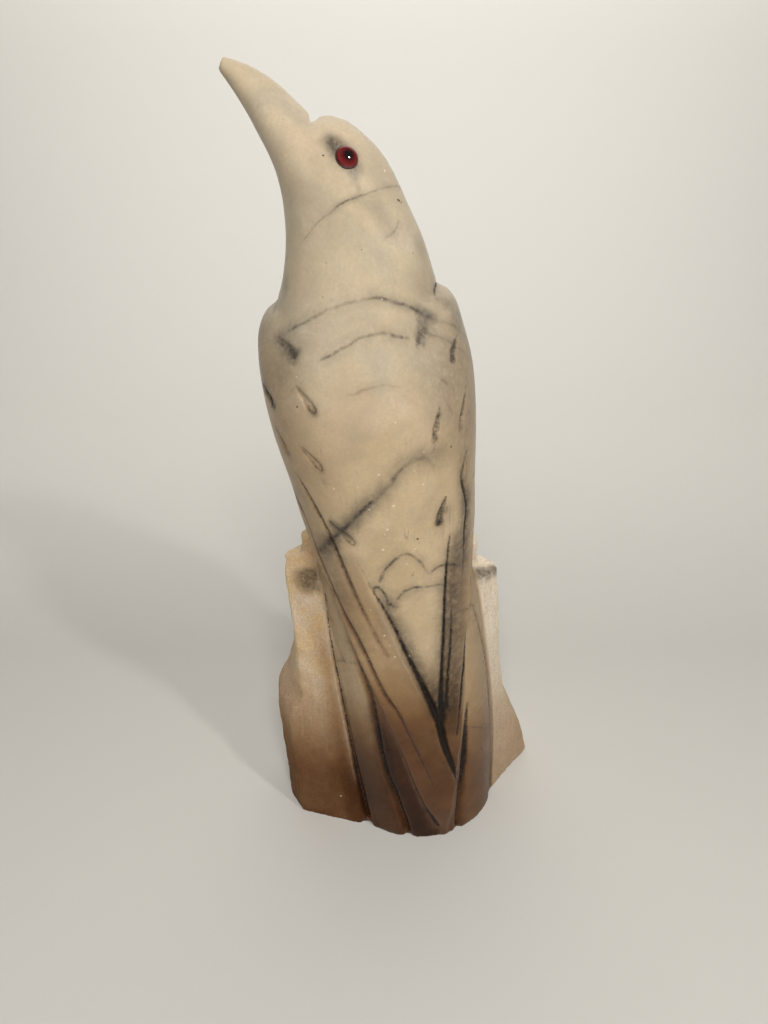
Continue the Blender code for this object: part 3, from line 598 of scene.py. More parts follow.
def set_field(thing, name, values):
    """Stores one value for each vertex."""
    kind = 'FLOAT_VECTOR' if values.ndim == 2 else 'FLOAT'
    field = thing.data.attributes.get(name) or thing.data.attributes.new(name, kind, 'POINT')
    field.data.foreach_set("vector" if values.ndim == 2 else "value", values.astype(np.float32).ravel())


alabaster = bpy.data.materials.new("veined_alabaster")
rounded = sanded(block, block_points, ARRIS_RUBS, ARRIS_RUB)
hollow = np.linalg.norm(rounded - block_points, axis=1)
outwards = ((rounded - block_points) * normals_of(block)).sum(axis=1) < 0
set_field(block, "hewn", hewn_share(block_points))
set_field(block, "arris", np.where(outwards, np.clip(hollow / ARRIS_RUBBED_DOWN, 0.0, 1.0), 0.0))

hewing = bpy.data.node_groups.new("hewn_relief", 'GeometryNodeTree')
hewing.interface.new_socket("Geometry", in_out='INPUT', socket_type='NodeSocketGeometry')
HEWING_SIZES = {
    "Flute depth": 0.0007, "Flute width": 0.0060, "Flute stretch": 0.12, "Chip depth": 0.0006,
    "Chip size": 0.0050, "Grain depth": 0.00026, "Grain size": 0.0014, "Arris wear": 0.0013,
    "Wear size": 0.006, "Seed": 4.0,
}
for size_name, size in HEWING_SIZES.items():
    socket = hewing.interface.new_socket(size_name, in_out='INPUT', socket_type='NodeSocketFloat')
    socket.default_value = size
hewing.interface.new_socket("Geometry", in_out='OUTPUT', socket_type='NodeSocketGeometry')


def node(kind, inputs=(), **settings):
    """A node of the tree in hand, with its settings and with values or links for its inputs."""
    made = tree.nodes.new(kind)
    for setting, value in settings.items():
        setattr(made, setting, value)
    for key, value in dict(inputs).items():
        if isinstance(value, bpy.types.NodeSocket):
            tree.links.new(value, made.inputs[key])
        else:
            made.inputs[key].default_value = value
    return made


def maths(operation, *values):
    """The result of a Math node."""
    return node('ShaderNodeMath', dict(enumerate(values)), operation=operation).outputs[0]


def times(*values):
    """Values multiplied together."""
    return reduce(lambda one, other: maths('MULTIPLY', one, other), values)


def greatest(*values):
    """The greatest of some values."""
    return reduce(lambda one, other: maths('MAXIMUM', one, other), values)


def stored(name):
    """A value stored for each vertex, in a tree of geometry nodes."""
    return node('GeometryNodeInputNamedAttribute', {"Name": name}, data_type='FLOAT').outputs[0]


def pattern(kind, at, size_name, inputs, seed=None, **settings):
    """A noise or cell pattern with patches as large as one of the sizes given."""
    scale = maths('DIVIDE', 1.0, given[size_name])
    inputs = {"Vector": at, "W": seed or given["Seed"], "Scale": scale, **inputs}
    return node(kind, inputs, **settings).outputs[0]


def raised(texture, level, depth_name):
    """How far a pattern raises the skin."""
    return times(maths('SUBTRACT', texture, level), given[depth_name])


tree = hewing
given = node('NodeGroupInput').outputs
hewn_mask, arris_mask = stored("hewn"), stored("arris")
place = node('GeometryNodeInputPosition').outputs[0]
outward = node('GeometryNodeInputNormal').outputs[0]
stretch = node('ShaderNodeCombineXYZ', {0: 1.0, 1: 1.0, 2: given["Flute stretch"]}).outputs[0]
upright = node('ShaderNodeVectorMath', {0: place, 1: stretch}, operation='MULTIPLY').outputs[0]
flute = pattern('ShaderNodeTexNoise', upright, "Flute width", {"Detail": 3.0, "Roughness": 0.62},
                noise_dimensions='4D')
chip = pattern('ShaderNodeTexVoronoi', place, "Chip size", {"Randomness": 1.0}, voronoi_dimensions='4D',
               feature='F1')
grain = pattern('ShaderNodeTexNoise', place, "Grain size", {"Detail": 2.0}, noise_dimensions='4D')
wear_seed = maths('ADD', given["Seed"], WEAR_SEED_STEP)
wear = pattern('ShaderNodeTexNoise', place, "Wear size", {"Detail": 3.0}, wear_seed, noise_dimensions='4D')
worn = maths('MAXIMUM', maths('SUBTRACT', wear, WEAR_LEVEL), 0.0)
worn = times(worn, WEAR_STEEPNESS, given["Arris wear"], arris_mask)
relief = maths('ADD', raised(flute, FLUTE_LEVEL, "Flute depth"), raised(chip, CHIP_LEVEL, "Chip depth"))
relief = maths('ADD', relief, maths('ADD', raised(grain, GRAIN_LEVEL, "Grain depth"), worn))
relief = times(maths('MINIMUM', relief, MOST_PROUD), hewn_mask)
offset = node('ShaderNodeVectorMath', {0: outward, 3: relief}, operation='SCALE').outputs[0]
moved = node('GeometryNodeSetPosition', {"Geometry": given["Geometry"], "Offset": offset})
realised = node('GeometryNodeRealizeInstances', {"Geometry": moved.outputs[0]})
dressed = node('GeometryNodeSetMaterial', {"Geometry": realised.outputs[0], "Material": alabaster})
node('NodeGroupOutput', {0: dressed.outputs[0]})

hewer = block.modifiers.new("hewn_relief", 'NODES')
hewer.node_group = hewing
for item in hewing.interface.items_tree:
    if item.in_out == 'INPUT' and item.name in HEWING_SIZES:
        hewer[item.identifier] = HEWING_SIZES[item.name]
apply_all(block)

# The finished skin
# The carving is rubbed down and stands on its sawn, flat underside. The fine skin is thinned where
# it is plain, and the two eye sockets are drilled.
MOST_TRIANGLES = 188000
EYE_RADIUS, EYE_THICKNESS, EYE_DOME, EYE_CEMENT = 0.0028, 0.0034, 0.0011, 0.00004
EYE_BELOW_CROWN, EYE_DEGREES, EYE_STEP, EYE_GROUND_EDGE = 7.8, 22.4, 2, 0.0002
EYE_COLUMNS, DRILL_REACH = 64, 0.004
UNDERSIDE_BAND, UNDERSIDE_FACING = 0.8, -0.5


def triangles_in(thing):
    """How many triangles an object's faces make."""
    return sum(len(face.vertices) - 2 for face in thing.data.polygons)


points = drawn_points(block)
underside = points[:, 2] < UNDERSIDE_BAND
points = sanded(block, points, 1)
points[underside & (normals_of(block)[:, 2] < UNDERSIDE_FACING), 2] = 0.0
points[:, 2] = np.clip(points[:, 2], 0.0, None)
move_to(block, points)
thinning = block.modifiers.new("thinning", 'DECIMATE')
thinning.ratio = min(1.0, MOST_TRIANGLES / triangles_in(block))
thinning.use_collapse_triangulate = True
apply_all(block)


def eye_axis(side):
    """Where an eye's axis meets the head and the way it looks, in metres; side is -1 for the left."""
    height = crown - EYE_BELOW_CROWN
    around = bird_points(EYE_DEGREES + EYE_STEP, height) - bird_points(EYE_DEGREES - EYE_STEP, height)
    upward = bird_points(EYE_DEGREES, height + EYE_STEP) - bird_points(EYE_DEGREES, height - EYE_STEP)
    normal = np.cross(around, upward)
    normal /= np.linalg.norm(normal)
    place = bird_points(EYE_DEGREES, height) * MM
    mirror = np.array((1.0, -side, 1.0))
    return Vector(place * mirror), Vector(normal * mirror)


def turned(name, profile, side):
    """A solid turned about an eye's axis, from its radius and distance along the axis, in metres."""
    place, direction = eye_axis(side)
    turn = direction.to_track_quat('Z', 'Y')
    verts, faces, rings = [], [], []
    for radius, along in profile:
        count = EYE_COLUMNS if radius > 0.0 else 1
        rings.append([len(verts) + number for number in range(count)])
        for number in range(count):
            angle = 2 * math.pi * number / EYE_COLUMNS
            verts.append(place + turn @ Vector((radius * math.cos(angle), radius * math.sin(angle), along)))
    for lower, upper in zip(rings, rings[1:]):
        for number in range(EYE_COLUMNS):
            after = number + 1
            corners = (lower[number % len(lower)], lower[after % len(lower)],
                       upper[after % len(upper)], upper[number % len(upper)])
            faces.append(tuple(dict.fromkeys(corners)))
    return mesh_from(name, verts, faces)


drill_radius = EYE_RADIUS + EYE_CEMENT
drill_end = EYE_DOME - EYE_THICKNESS - EYE_CEMENT
drill_profile = [(0.0, drill_end), (drill_radius, drill_end), (drill_radius, DRILL_REACH), (0.0, DRILL_REACH)]
drills = []
for side in (-1, 1):
    drill = turned("drill", drill_profile, side)
    drilling = block.modifiers.new("drilling", 'BOOLEAN')
    drilling.operation = 'DIFFERENCE'
    drilling.object = drill
    drilling.solver = 'EXACT'
    drills.append(drill)
apply_all(block)
for drill in drills:
    bpy.data.objects.remove(drill)
block.data.shade_smooth()
print("block:", triangles_in(block), "triangles")

# The stone's veins, stains, grime, and painted shade and highlights
# Grey and smoky veins run through the stone, with hairline cracks between them. Grime has settled in
# the cuts, and rust along some; shade is painted beside the cuts, on the flanks and low on the rump, and
# highlights along raised edges. Each is a line on the skin; its field says how far off a place lies.
# How far off a vein counts, in half widths, with some millimetres more; the gap where none is near; its fade
VEIN_REACH, VEIN_SAFETY, VEIN_FAR, VEIN_SOFT = 7.0, 3.0, 8.0, 2.0
VEIN_LAYERS = {"grey": (0, 1, 2, 3, 4, 5), "brown": (6,), "pale": (7, 8)}
# The line round a teardrop cut: half width in millimetres, darkness along it
CHIP_OUTLINE, CHIP_OUTLINE_DARKNESS = 0.42, (0.9, 0.5, 0.7, 1.0, 0.9, 0.4, 0.9)
# Its shape: shares of the cut's length, and how far out it lies there
CHIP_SHARES, CHIP_HALVES = (0.0, 0.3, 0.55, 0.78, 0.94, 1.02), (0.0, 0.35, 0.65, 0.95, 0.8, 0.0)
# The radius of the wings, which turns millimetres round them into degrees
WING_RADIUS = 27.0
# The long dark vein across the wings
WING_VEIN = (
    (-62.4, 114.5), (-44.1, 122.5), (-33.4, 127.1), (-22.7, 132.4), (-14.6, 136.4), (-7.5, 139.4),
    (-0.6, 143.3), (4.8, 147), (10.2, 149.1), (16.7, 149.7), (22.1, 148.5), (24.6, 145.8),
)
# Each vein: kind, half width in millimetres, darkness along it, path as degrees and height
VEINS = [
    ("grey", 0.27, (0.2, 0.5, 0.9, 0.5, 0.6, 1, 0.7, 0.4), ((-53.9, 199.3), (-37.3, 203.4), (-23.3, 206.7),
        (-8.8, 209.2), (5.6, 211.3), (21.2, 212.4), (33.8, 213), (48.8, 213.5), (64.9, 213.4),
        (87.3, 212.2), (120, 208), (150, 203), (180, 199), (210, 196), (240, 194), (270, 194.5),
        (306.1, 199.3))),
    ("grey", 0.45, (0.2, 0.6, 0.5, 0.2), ((52.1, 206.4), (48.3, 205.4), (37.6, 203.8), (26.3, 202.4))),
    ("grey", 0.56, (0.7, 0.8, 0.6, 0.4, 0.45, 0.8, 0.95, 1, 0.8), ((-59, 178.7), (-52.8, 181),
        (-42.6, 183.6), (-34.7, 185.1), (-26, 187), (-14.9, 188.6), (-5.2, 189.5), (5.7, 190.2),
        (16.2, 189.4), (25.8, 188.3), (33.2, 187), (40.6, 184.9), (47, 183.4))),
    ("grey", 0.6, (0.5, 0.3, 0.3, 0.5, 0.6, 0.5), ((48, 183.2), (60, 180.4), (75.4, 175.1), (95, 168),
        (120, 161), (150, 157), (180, 157), (210, 161), (240, 167), (270, 172.5), (300, 178.4))),
    ("grey", 0.5, (0.35, 0.8, 0.7, 0.5, 0.75, 0.9), ((-31, 175.2), (-26.3, 176.4), (-19.5, 178),
        (-11.8, 179.7), (-3, 181.3), (5.7, 182), (13.2, 181.7), (20.7, 180.7), (27.4, 179.8))),
    ("grey", 0.38, (0.6, 0.4, 0.5, 0.3, 0.2), ((36.8, 181.1), (44.8, 179.3), (51.2, 177.4), (58, 174.6),
        (67.7, 169.6))),
    ("brown", 0.45, (0.15, 0.4, 0.3, 0.15), ((-15.5, 168.4), (-11.2, 168.5), (-7.2, 169.5), (-1.5, 170.2),
        (3.8, 170.4), (12, 169.3))),
    ("grey", 0.4, (0.3, 0.5, 0.2), ((35.4, 169.6), (39, 168), (43.4, 165.5))),
    ("grey", 0.45, (0.1, 0.35, 0.1), ((34.6, 163.6), (37, 162), (39.3, 159.2))),
    ("grey", 0.8, (0.8, 1, 1, 1, 0.85, 0.7, 0.5, 0.35, 0.15), WING_VEIN),
    ("grey", 0.9, (0.2, 0.5, 0.5, 0.4, 0.6, 0.7), ((70, 150), (90, 146), (120, 138), (150, 130), (180, 122),
        (210, 115), (240, 110), (270, 109), (297.6, 114.5))),
    ("grey", 0.34, (0.7, 1, 1, 0.9, 0.6, 0.35, 0.15), WING_VEIN[:7]),
    ("grey", 0.45, (0.6, 0.5, 0.2), ((26.2, 147.5), (24.2, 150.7), (25.5, 154))),
    ("grey", 0.55, (0.8, 1, 0.9, 0.8, 0.6, 1, 1), ((-15.4, 109.7), (-13, 113.2), (-8.9, 116.7), (-1.4, 120),
        (3, 121), (8.4, 119.1), (12.8, 116.1), (15.5, 112.9), (22.1, 114.4), (29.7, 113.8), (42.5, 111))),
    ("grey", 0.6, (0.9, 1, 1, 1, 0.6), ((-19.7, 108), (-15.4, 109.7), (-11.5, 106.3), (-11, 103.5),
        (-5.3, 102.4))),
    ("grey", 0.5, (0.8, 0.9, 1, 0.9, 0.7, 0.5), ((-5.9, 104.9), (-1.8, 107.6), (4, 109), (11.4, 108.6),
        (20.9, 108.3), (27.4, 106.7))),
    ("grey", 0.3, (0.5, 0.3), ((16.5, 112), (14.4, 109.4))),
    ("grey", 0.34, (0.6, 0.5, 0.2), ((-12.7, 102.8), (-9.6, 98.2), (-6.3, 94.5))),
    # The pale lines are painted highlights along a ridge and a raised edge
    ("pale", 0.35, (0.2, 0.5, 0.6, 0.5, 0.3), ((20.4, 42.5), (16.8, 29.3), (13.8, 15.1), (11.7, 7.5))),
    ("pale", 0.35, (0.1, 0.5, 0.7, 0.5, 0.2), ((-24, 109), (-18.4, 102.7), (-13.4, 94.9), (-9.6, 86.7),
        (-5.3, 77.2), (-0.6, 67.1))),
    ("grey", 0.36, (0.5, 0.8, 0.7), ((-75.4, 70.5), (-57.4, 74.9), (-44.4, 76.6))),
    ("grey", 0.36, (0.4, 0.8, 0.6), ((33.1, 47.4), (43.6, 43.3), (59.8, 38.2))),
    ("grey", 0.34, (0.4, 0.7, 0.5), ((33.4, 96), (42.9, 95.1), (59.6, 91.3))),
]
# Painted highlights on the stump's raised edges beside the tail: face, half width, paleness, path
RIM_HIGHLIGHTS = (
    ("front_left", 0.42, (0.3, 0.9, 1, 0.9, 0.5, 0.2), ((-29.6, 96), (-27.9, 77.7), (-25.4, 59.4),
        (-22.5, 37.7), (-19.7, 17))),
    ("front_right", 0.36, (0.3, 0.7, 0.8, 0.6, 0.3), ((19.2, 92), (24.2, 71.2), (26.9, 53.2), (29.2, 30.6),
        (30.1, 12))),
)
# Smoke beside the veins, and painted shade beside the cuts where their sides step down: reach in millimetres,
# darkness along it, path
HAZES_AND_SHADE = (
    (5, (0.3, 0.5, 0.6, 0.55, 0.45, 0.4, 0.35, 0.3, 0.2), ((-62.4, 114), (-44.1, 122), (-33.4, 126.6),
        (-22.7, 132), (-14.6, 136.6), (-7.5, 140.2), (-0.6, 144), (4.8, 148), (12, 150), (20, 150),
        (27, 147))),
    (2.4, (0.7, 0.8, 0.7, 0.4, 0.2, 0.1), WING_VEIN[:6]),
    (6, (0, 0.35, 0.4, 0.4, 0.3), ((-70, 128), (-58, 114), (-47, 101.5), (-38, 92), (-30, 82))),
    (5, (0.3, 0.65, 0.85, 0.9, 0.7, 0.4), CUTS["right_feather_upper"][0]),
    (6.5, (0.3, 0.7, 0.85, 0.9, 0.9, 0.9), ((35.4, 123.8), (28.4, 105.8), (23.6, 93.6), (17.4, 79.9),
        (12.1, 64.3), (11.7, 56))),
    (5.5, (0, 0.6, 0.8, 0.85, 0.9), ((-18.5, 108.5), (-12.4, 101.7), (-7.2, 94), (-3.4, 85.7), (1.1, 76.2),
        (5.9, 66.1), (9.5, 57.5))),
    (6, (0.3, 0.5, 0.85, 0.9, 0.7, 0.5), ((37, 93), (32, 84), (26.5, 75), (22.5, 66), (19.3, 57.5),
        (16, 48))),
    (5, (0.3, 0.8, 0.9, 0.8), ((-37, 64), (-36, 50), (-34, 36), (-29, 18))),
    (4, (0.2, 0.4, 0.5, 0.4), ((48, 116), (44, 106), (38, 96), (30, 84))),
    (5.5, (0.4, 0.6, 0.6, 0.5, 0.35, 0.2), ((40, 126), (37.5, 116), (35, 106), (31, 96), (27, 86),
        (22, 76))),
)
# Brown skin along the wings' edges: reach, darkness along it, path
BROWN_EDGES = (
    (4.8, (0.3, 0.65, 0.7, 0.75, 0.85), ((-60, 106), (-46, 88), (-32, 66), (-21, 46), (-9, 26), (-1, 10))),
    (2.2, (0.3, 0.5, 0.6, 0.6), ((-61, 115.8), (-47.2, 99.6), (-35.1, 87.8), (-23.9, 68.9), (-10, 47.4))),
    (2.2, (0.2, 0.35, 0.4, 0.3), ((50, 96.1), (35.3, 81.8), (27.3, 66.1), (20.5, 50.5))),
    (6, (0, 0.6, 0.75, 0.7), ((-13, 33), (-6.5, 22), (-0.5, 12), (4, 3))),
)
# Smoky stains and dark spots, with painted shade low on the rump between the wing tips: degrees, height,
# reach in millimetres, darkness
STAINS_AND_SHADE = (
    (8.2, 224.1, 3.2, 0.5), (11.5, 223.3, 3.4, 0.75), (15, 222.8, 3.8, 0.8), (12.6, 221.2, 3.4, 0.6),
    (22.3, 220.7, 5, 0.7), (27, 218.4, 3, 0.5), (22.5, 217.6, 2.6, 0.4), (21.5, 216.2, 1.8, 0.35),
    (23, 214.6, 1.3, 0.5), (22, 211.7, 3.4, 0.22), (28.4, 210, 4, 0.22), (35.8, 208.5, 4.4, 0.22),
    (37.2, 206, 4, 0.18), (70, 200, 6, 0.25), (-72, 190, 5, 0.35), (-60, 178.4, 3.2, 0.65),
    (-54.5, 176.5, 3.4, 0.65), (-48.5, 175.2, 3, 0.9), (-44.5, 176.8, 1.6, 0.6), (-56, 171, 8, 0.28),
    (-78, 166, 7, 0.35), (38, 164, 12, 0.32), (50, 154, 14, 0.32), (33, 174, 16, 0.24), (64, 188, 12, 0.3),
    (50, 130, 7, 0.5), (49, 121, 7, 0.5), (45, 112, 7, 0.45), (47, 172, 10, 0.2), (-48, 116, 9, 0.25),
    (-39, 104, 9, 0.25), (-74, 164, 3.2, 0.8), (-68, 162.2, 3.4, 0.8), (-33.4, 163.1, 2, 0.55),
    (-55.5, 157.3, 1.8, 0.25), (-36, 142.5, 1.3, 0.35), (37.5, 182.3, 2.6, 0.6), (36.2, 180.5, 2.8, 0.7),
    (33, 178.8, 2.4, 0.65), (39, 185.9, 2.4, 0.6), (42.5, 185, 2.6, 0.65), (46.5, 183.8, 2.4, 0.6),
    (38.7, 184.1, 2.2, 0.6), (40, 182, 7, 0.3), (55, 176.9, 1.5, 0.6), (52, 175.2, 2.2, 0.65),
    (49.2, 173.3, 1.7, 0.75), (29, 160.5, 1.6, 0.6), (26, 155, 1.8, 0.6), (30, 134.8, 1.8, 0.45),
    (28.2, 132.6, 2.3, 0.55), (25.2, 129, 2.6, 0.9), (31.6, 131.9, 1.3, 0.9), (34, 130.9, 0.9, 0.8),
    (28, 131, 6, 0.25), (-39, 129, 2.4, 0.5), (-30, 125.5, 2.6, 0.3), (84, 156, 5, 0.6), (75, 172, 9, 0.25),
    (20, 149.4, 6, 0.3), (26, 148.6, 5, 0.28), (31, 152, 5, 0.22), (38, 148, 8, 0.18), (-43, 122, 5, 0.4),
    (-38.5, 117, 3, 0.35), (-37, 127.5, 4, 0.35), (44, 118, 7, 0.35), (36, 104, 6, 0.3), (32, 92, 4, 0.25),
    (10.5, 62, 5, 0.6), (10, 70, 5, 0.35), (-10, 104, 5, 0.25), (5, 106, 5, 0.15), (-41, 55, 5, 0.25),
    (72, 182, 8, 0.42), (62, 186, 4, 0.4), (-84, 178, 7, 0.25), (-34, 40, 6, 0.35), (22, 36, 5, 0.45),
    (-48, 84, 5, 0.22),
)
# Small dark pits, and pale crystals with their glints painted in: degrees, height, radius in millimetres
PITS = (
    (-3.8, 220.7, 0.38), (63.4, 211, 0.45), (64.6, 210.3, 0.5), (65.8, 209.6, 0.38), (53.1, 198.3, 0.22),
    (27.4, 198.6, 0.12), (8.5, 200.6, 0.12), (-43.6, 163.5, 0.42), (36.8, 151.1, 0.5), (11.5, 125.3, 0.38),
    (-28, 190.6, 0.15), (-8, 92, 0.35),
)
CRYSTAL_GLINTS = (
    (14, 190, 0.3), (-44, 171, 0.35), (5.1, 160.6, 0.4), (-12.4, 136.8, 0.35), (-3, 145.5, 0.4),
    (19, 151.9, 0.35), (17.1, 142.7, 0.4), (-8.5, 128.3, 0.4), (7.1, 122.6, 0.45), (-30.3, 141.7, 0.5),
    (-17.4, 142.5, 0.35), (12.1, 146.1, 0.35), (-22, 101, 0.35), (-16.5, 92.5, 0.55), (-14.6, 88.5, 0.35),
    (-11.9, 84, 0.5), (2, 118.5, 0.45), (-31, 81, 0.4), (-35, 74, 0.4),
)
# Painted shade on the stump's ledges, where the bird's body meets them and under their lips, and darker
# patches down its left face by the tail: point, reach, darkness
DARK_PATCHES = (
    ((-33.5, -10, 98.5), 8, 1), ((-28.5, -11, 98), 7.5, 1), ((-26.5, -15, 92.5), 5.5, 0.8),
    ((-37, -9, 98), 5, 0.7), ((22.8, -1.5, 95.5), 6, 1), ((18.8, -4, 95.5), 6, 1),
    ((26.5, 0.5, 95), 5, 0.8), ((18.5, -9, 92), 4, 0.7), ((-24, -24, 58), 9, 0.22),
    ((-27, -24, 38), 10, 0.25),
)


def chip_outline(thin_end, round_end):
    """The loop round a teardrop cut, from its thin end round and back."""
    start, end = np.array(thin_end), np.array(round_end)
    degrees_a_mm = math.degrees(1 / WING_RADIUS)
    way = (end - start) / (degrees_a_mm, 1.0)
    across = np.array((-way[1], way[0])) / np.linalg.norm(way)
    spine = start + np.outer(CHIP_SHARES, end - start)
    sideways = np.outer(CHIP_HALVES, across * (degrees_a_mm, 1.0))
    return np.concatenate((spine + sideways, (spine - sideways)[-2::-1]))


for thin_end, round_end, _, _, _, outlined in CHIPS:
    if outlined:
        outline = chip_outline(thin_end, round_end)
        VEINS.append(("brown", CHIP_OUTLINE, CHIP_OUTLINE_DARKNESS, outline))

# How far a vein's course wanders: a seed, a size, the steps between its turns and their shares, and how
# much more round the bird than up it
WANDER_SEED, WANDER, WANDER_TURNS, WANDER_ROUND = 11, 0.09, ((8, 1.0), (3, 0.6)), (2.0, 1.0)
# Shares of a line over which it fades in and out, and how dark the darkest haze and painted shade beside a
# line is
VEIN_ENDS, SMUDGE_ENDS, HAZE_AND_SHADE_DARKNESS = 0.06, 0.08, 0.88
# Grime in the cuts, with painted shade as its soft edge: how far off a cut it is looked for; its core and its
# edge, as shares of the darkness and in widths
GRIME_AND_SHADE_REACH, GRIME_AND_SHADE_CORE, GRIME_AND_SHADE_FULL = 6.0, 0.72, 1.6
GRIME_AND_SHADE_EDGE, GRIME_AND_SHADE_EDGE_WIDTHS, RUST_WIDTHS = 0.28, 3.2, 2.0
# Painted shade on the flanks, grey and brown, where they turn from the light: middle, start and run round
# them in degrees; start and run down them
FLANK_SHADE_ROUND, FLANK_SHADE_DOWN, FLANK_SHADE_DARKNESS = (4.0, 30.0, 34.0), (192.0, 12.0), 0.24
FLANK_ROUND, FLANK_DOWN, FLANK_LAYERS = (6.0, 24.0, 50.0), (184.0, 12.0), 0.3
FLANK_FADE_ROUND, FLANK_FADE = (0.0, 100.0, 50.0), 0.6
# Patina and painted shade outside the wings' inner cuts: how far over them, the height it is everywhere
# below, start and run
OUTER_OVER, OUTER_SOFT, OUTER_EVERYWHERE, OUTER_DOWN = 2.0, 5.0, 56.0, (130.0, 30.0)
OUTER_LAYERS, LESS_ON_RIGHT, LESS_BY_TAIL = 0.60, 0.06, 0.46
# The right blade: where it starts and over what run; how softly the lines of the tail and the wing end
RIGHT_START, TAIL_SOFT, WING_SOFT = (21.0, 8.0), 5.0, 4.0
# Across the hewn faces: the right half and its run; the rim by the tail, its lean and its run
RIGHT_HALF, RIM_PLACE = (5.0, 20.0), (25.2, 0.13, 6.0)
# Brown patina and painted shade that grow towards the foot: layers of it there, the height where it starts,
# and its run
PATINA_AND_SHADE = {
    "blades": (2.9, 88.0, 50.0), "plank": (4.5, 70.0, 54.0), "right blade": (2.6, 72.0, 58.0),
    "under wing": (2.4, 66.0, 30.0), "hewn left": (0.9, 70.0, 26.0), "hewn left foot": (2.5, 52.0, 36.0),
    "hewn rim": (0.9, 94.0, 24.0), "hewn right": (1.1, 66.0, 56.0),
}
wander = np.random.default_rng(WANDER_SEED)


def wobbled(path):
    """A path that wanders a little, as a crack in stone does."""
    for stride, share in WANDER_TURNS:
        knots = wander.normal(0.0, WANDER * share, (len(path) // stride + 2, 2))
        at = np.arange(len(path)) / stride
        shift = [np.interp(at, np.arange(len(knots)), knots[:, axis]) for axis in (0, 1)]
        path = path + np.stack(shift, axis=1) * WANDER_ROUND
    return path


points = drawn_points(block)
facing = normals_of(block)
degrees, heights, _ = skin_place(points)
hewn = hewn_share(points)
traced = np.where(hewn[:, None] > 0.5, points, on_skin(degrees, heights))
grounds = {"skin": traced, "brow": points}
for face_name in ("front_left", "front_right"):
    grounds[face_name] = onto_face(points, STUMP_FACES[face_name])


def ends_faded(place, share):
    """Fades out a line over a share of it at either end."""
    return ease(np.minimum(place, 1 - place) / share)


def smudge(reach, dark, path):
    """The points beside a path on the skin, and how dark it is there."""
    near, gap, place, _ = nearest(traced, facing, on_skin(*even_path(path).T), reach)
    return near, along_values(dark, place) * ease(1 - gap / reach) * ends_faded(place, SMUDGE_ENDS)


def over(stain_and_shade, share):
    """A darkening with another one over it."""
    return 1 - (1 - stain_and_shade) * (1 - share)


def below(start, run):
    """Grows from 0 to 1 down the carving, from a height and over a run."""
    return ease((start - heights) / run)


def round_from(middle, start, run):
    """Grows from 0 to 1 round the flanks, from so many degrees off a middle and over a run."""
    return ease((np.abs(degrees - middle) - start) / run)


def low_down(name):
    """Layers of patina and painted shade that grow towards the foot."""
    layers, *down = PATINA_AND_SHADE[name]
    return layers * below(*down)


def mixed(one, other, share):
    """Values that go over from one to the other."""
    return one + (other - one) * share


def cut_degrees(name):
    """Where a cut runs at each point's height, in degrees."""
    line = np.array(CUTS[name][0])
    return np.interp(heights, line[::-1, 1], line[::-1, 0])


vein_gap = np.full((len(points), 9), VEIN_FAR)
vein_dark = np.zeros((len(points), 9))
vein_lines = [(kind, half_width, dark, on_skin(*wobbled(even_path(path)).T), traced)
              for kind, half_width, dark, path in VEINS]
for face_name, half_width, dark, path in RIM_HIGHLIGHTS:
    line = face_path(STUMP_FACES[face_name], path)
    vein_lines.append(("pale", half_width, dark, line, grounds[face_name]))
for kind, half_width, dark, line, ground in vein_lines:
    near, gap, place, side = nearest(ground, facing, line, VEIN_REACH * half_width + VEIN_SAFETY)
    gap = np.minimum(gap / half_width, VEIN_FAR)
    taken = [(np.abs(vein_gap[near, layer]) < VEIN_REACH).sum() for layer in VEIN_LAYERS[kind]]
    layer = VEIN_LAYERS[kind][int(np.argmin(taken))]
    closer = gap <= np.abs(vein_gap[near, layer])
    near, gap, place, side = near[closer], gap[closer], place[closer], side[closer]
    vein_gap[near, layer] = side * gap
    fade = ease((VEIN_REACH - gap) / VEIN_SOFT) * ends_faded(place, VEIN_ENDS)
    vein_dark[near, layer] = along_values(dark, place) * fade
stain_and_shade = np.zeros(len(points))
for stain_degrees, stain_height, reach, dark in STAINS_AND_SHADE:
    off = np.linalg.norm(traced - on_skin(stain_degrees, stain_height), axis=1) / reach
    stain_and_shade = over(stain_and_shade, dark * ease(1 - off))
# Smoke beside the veins, and painted shade beside the cuts
for darkened_line in HAZES_AND_SHADE:
    near, share = smudge(*darkened_line)
    stain_and_shade[near] = over(stain_and_shade[near], HAZE_AND_SHADE_DARKNESS * share)
# Painted shade, grey, on the flanks below the shoulders
flank_shade = round_from(*FLANK_SHADE_ROUND) * below(*FLANK_SHADE_DOWN) * (1 - hewn)
stain_and_shade = over(stain_and_shade, FLANK_SHADE_DARKNESS * flank_shade)
# Painted shade on the stump's ledges under the bird, and darker patches by the tail
dark_patches = np.zeros(len(points))
for middle, reach, dark in DARK_PATCHES:
    dark_patches = np.maximum(dark_patches, dark * ease(1 - np.linalg.norm(points - middle, axis=1) / reach))
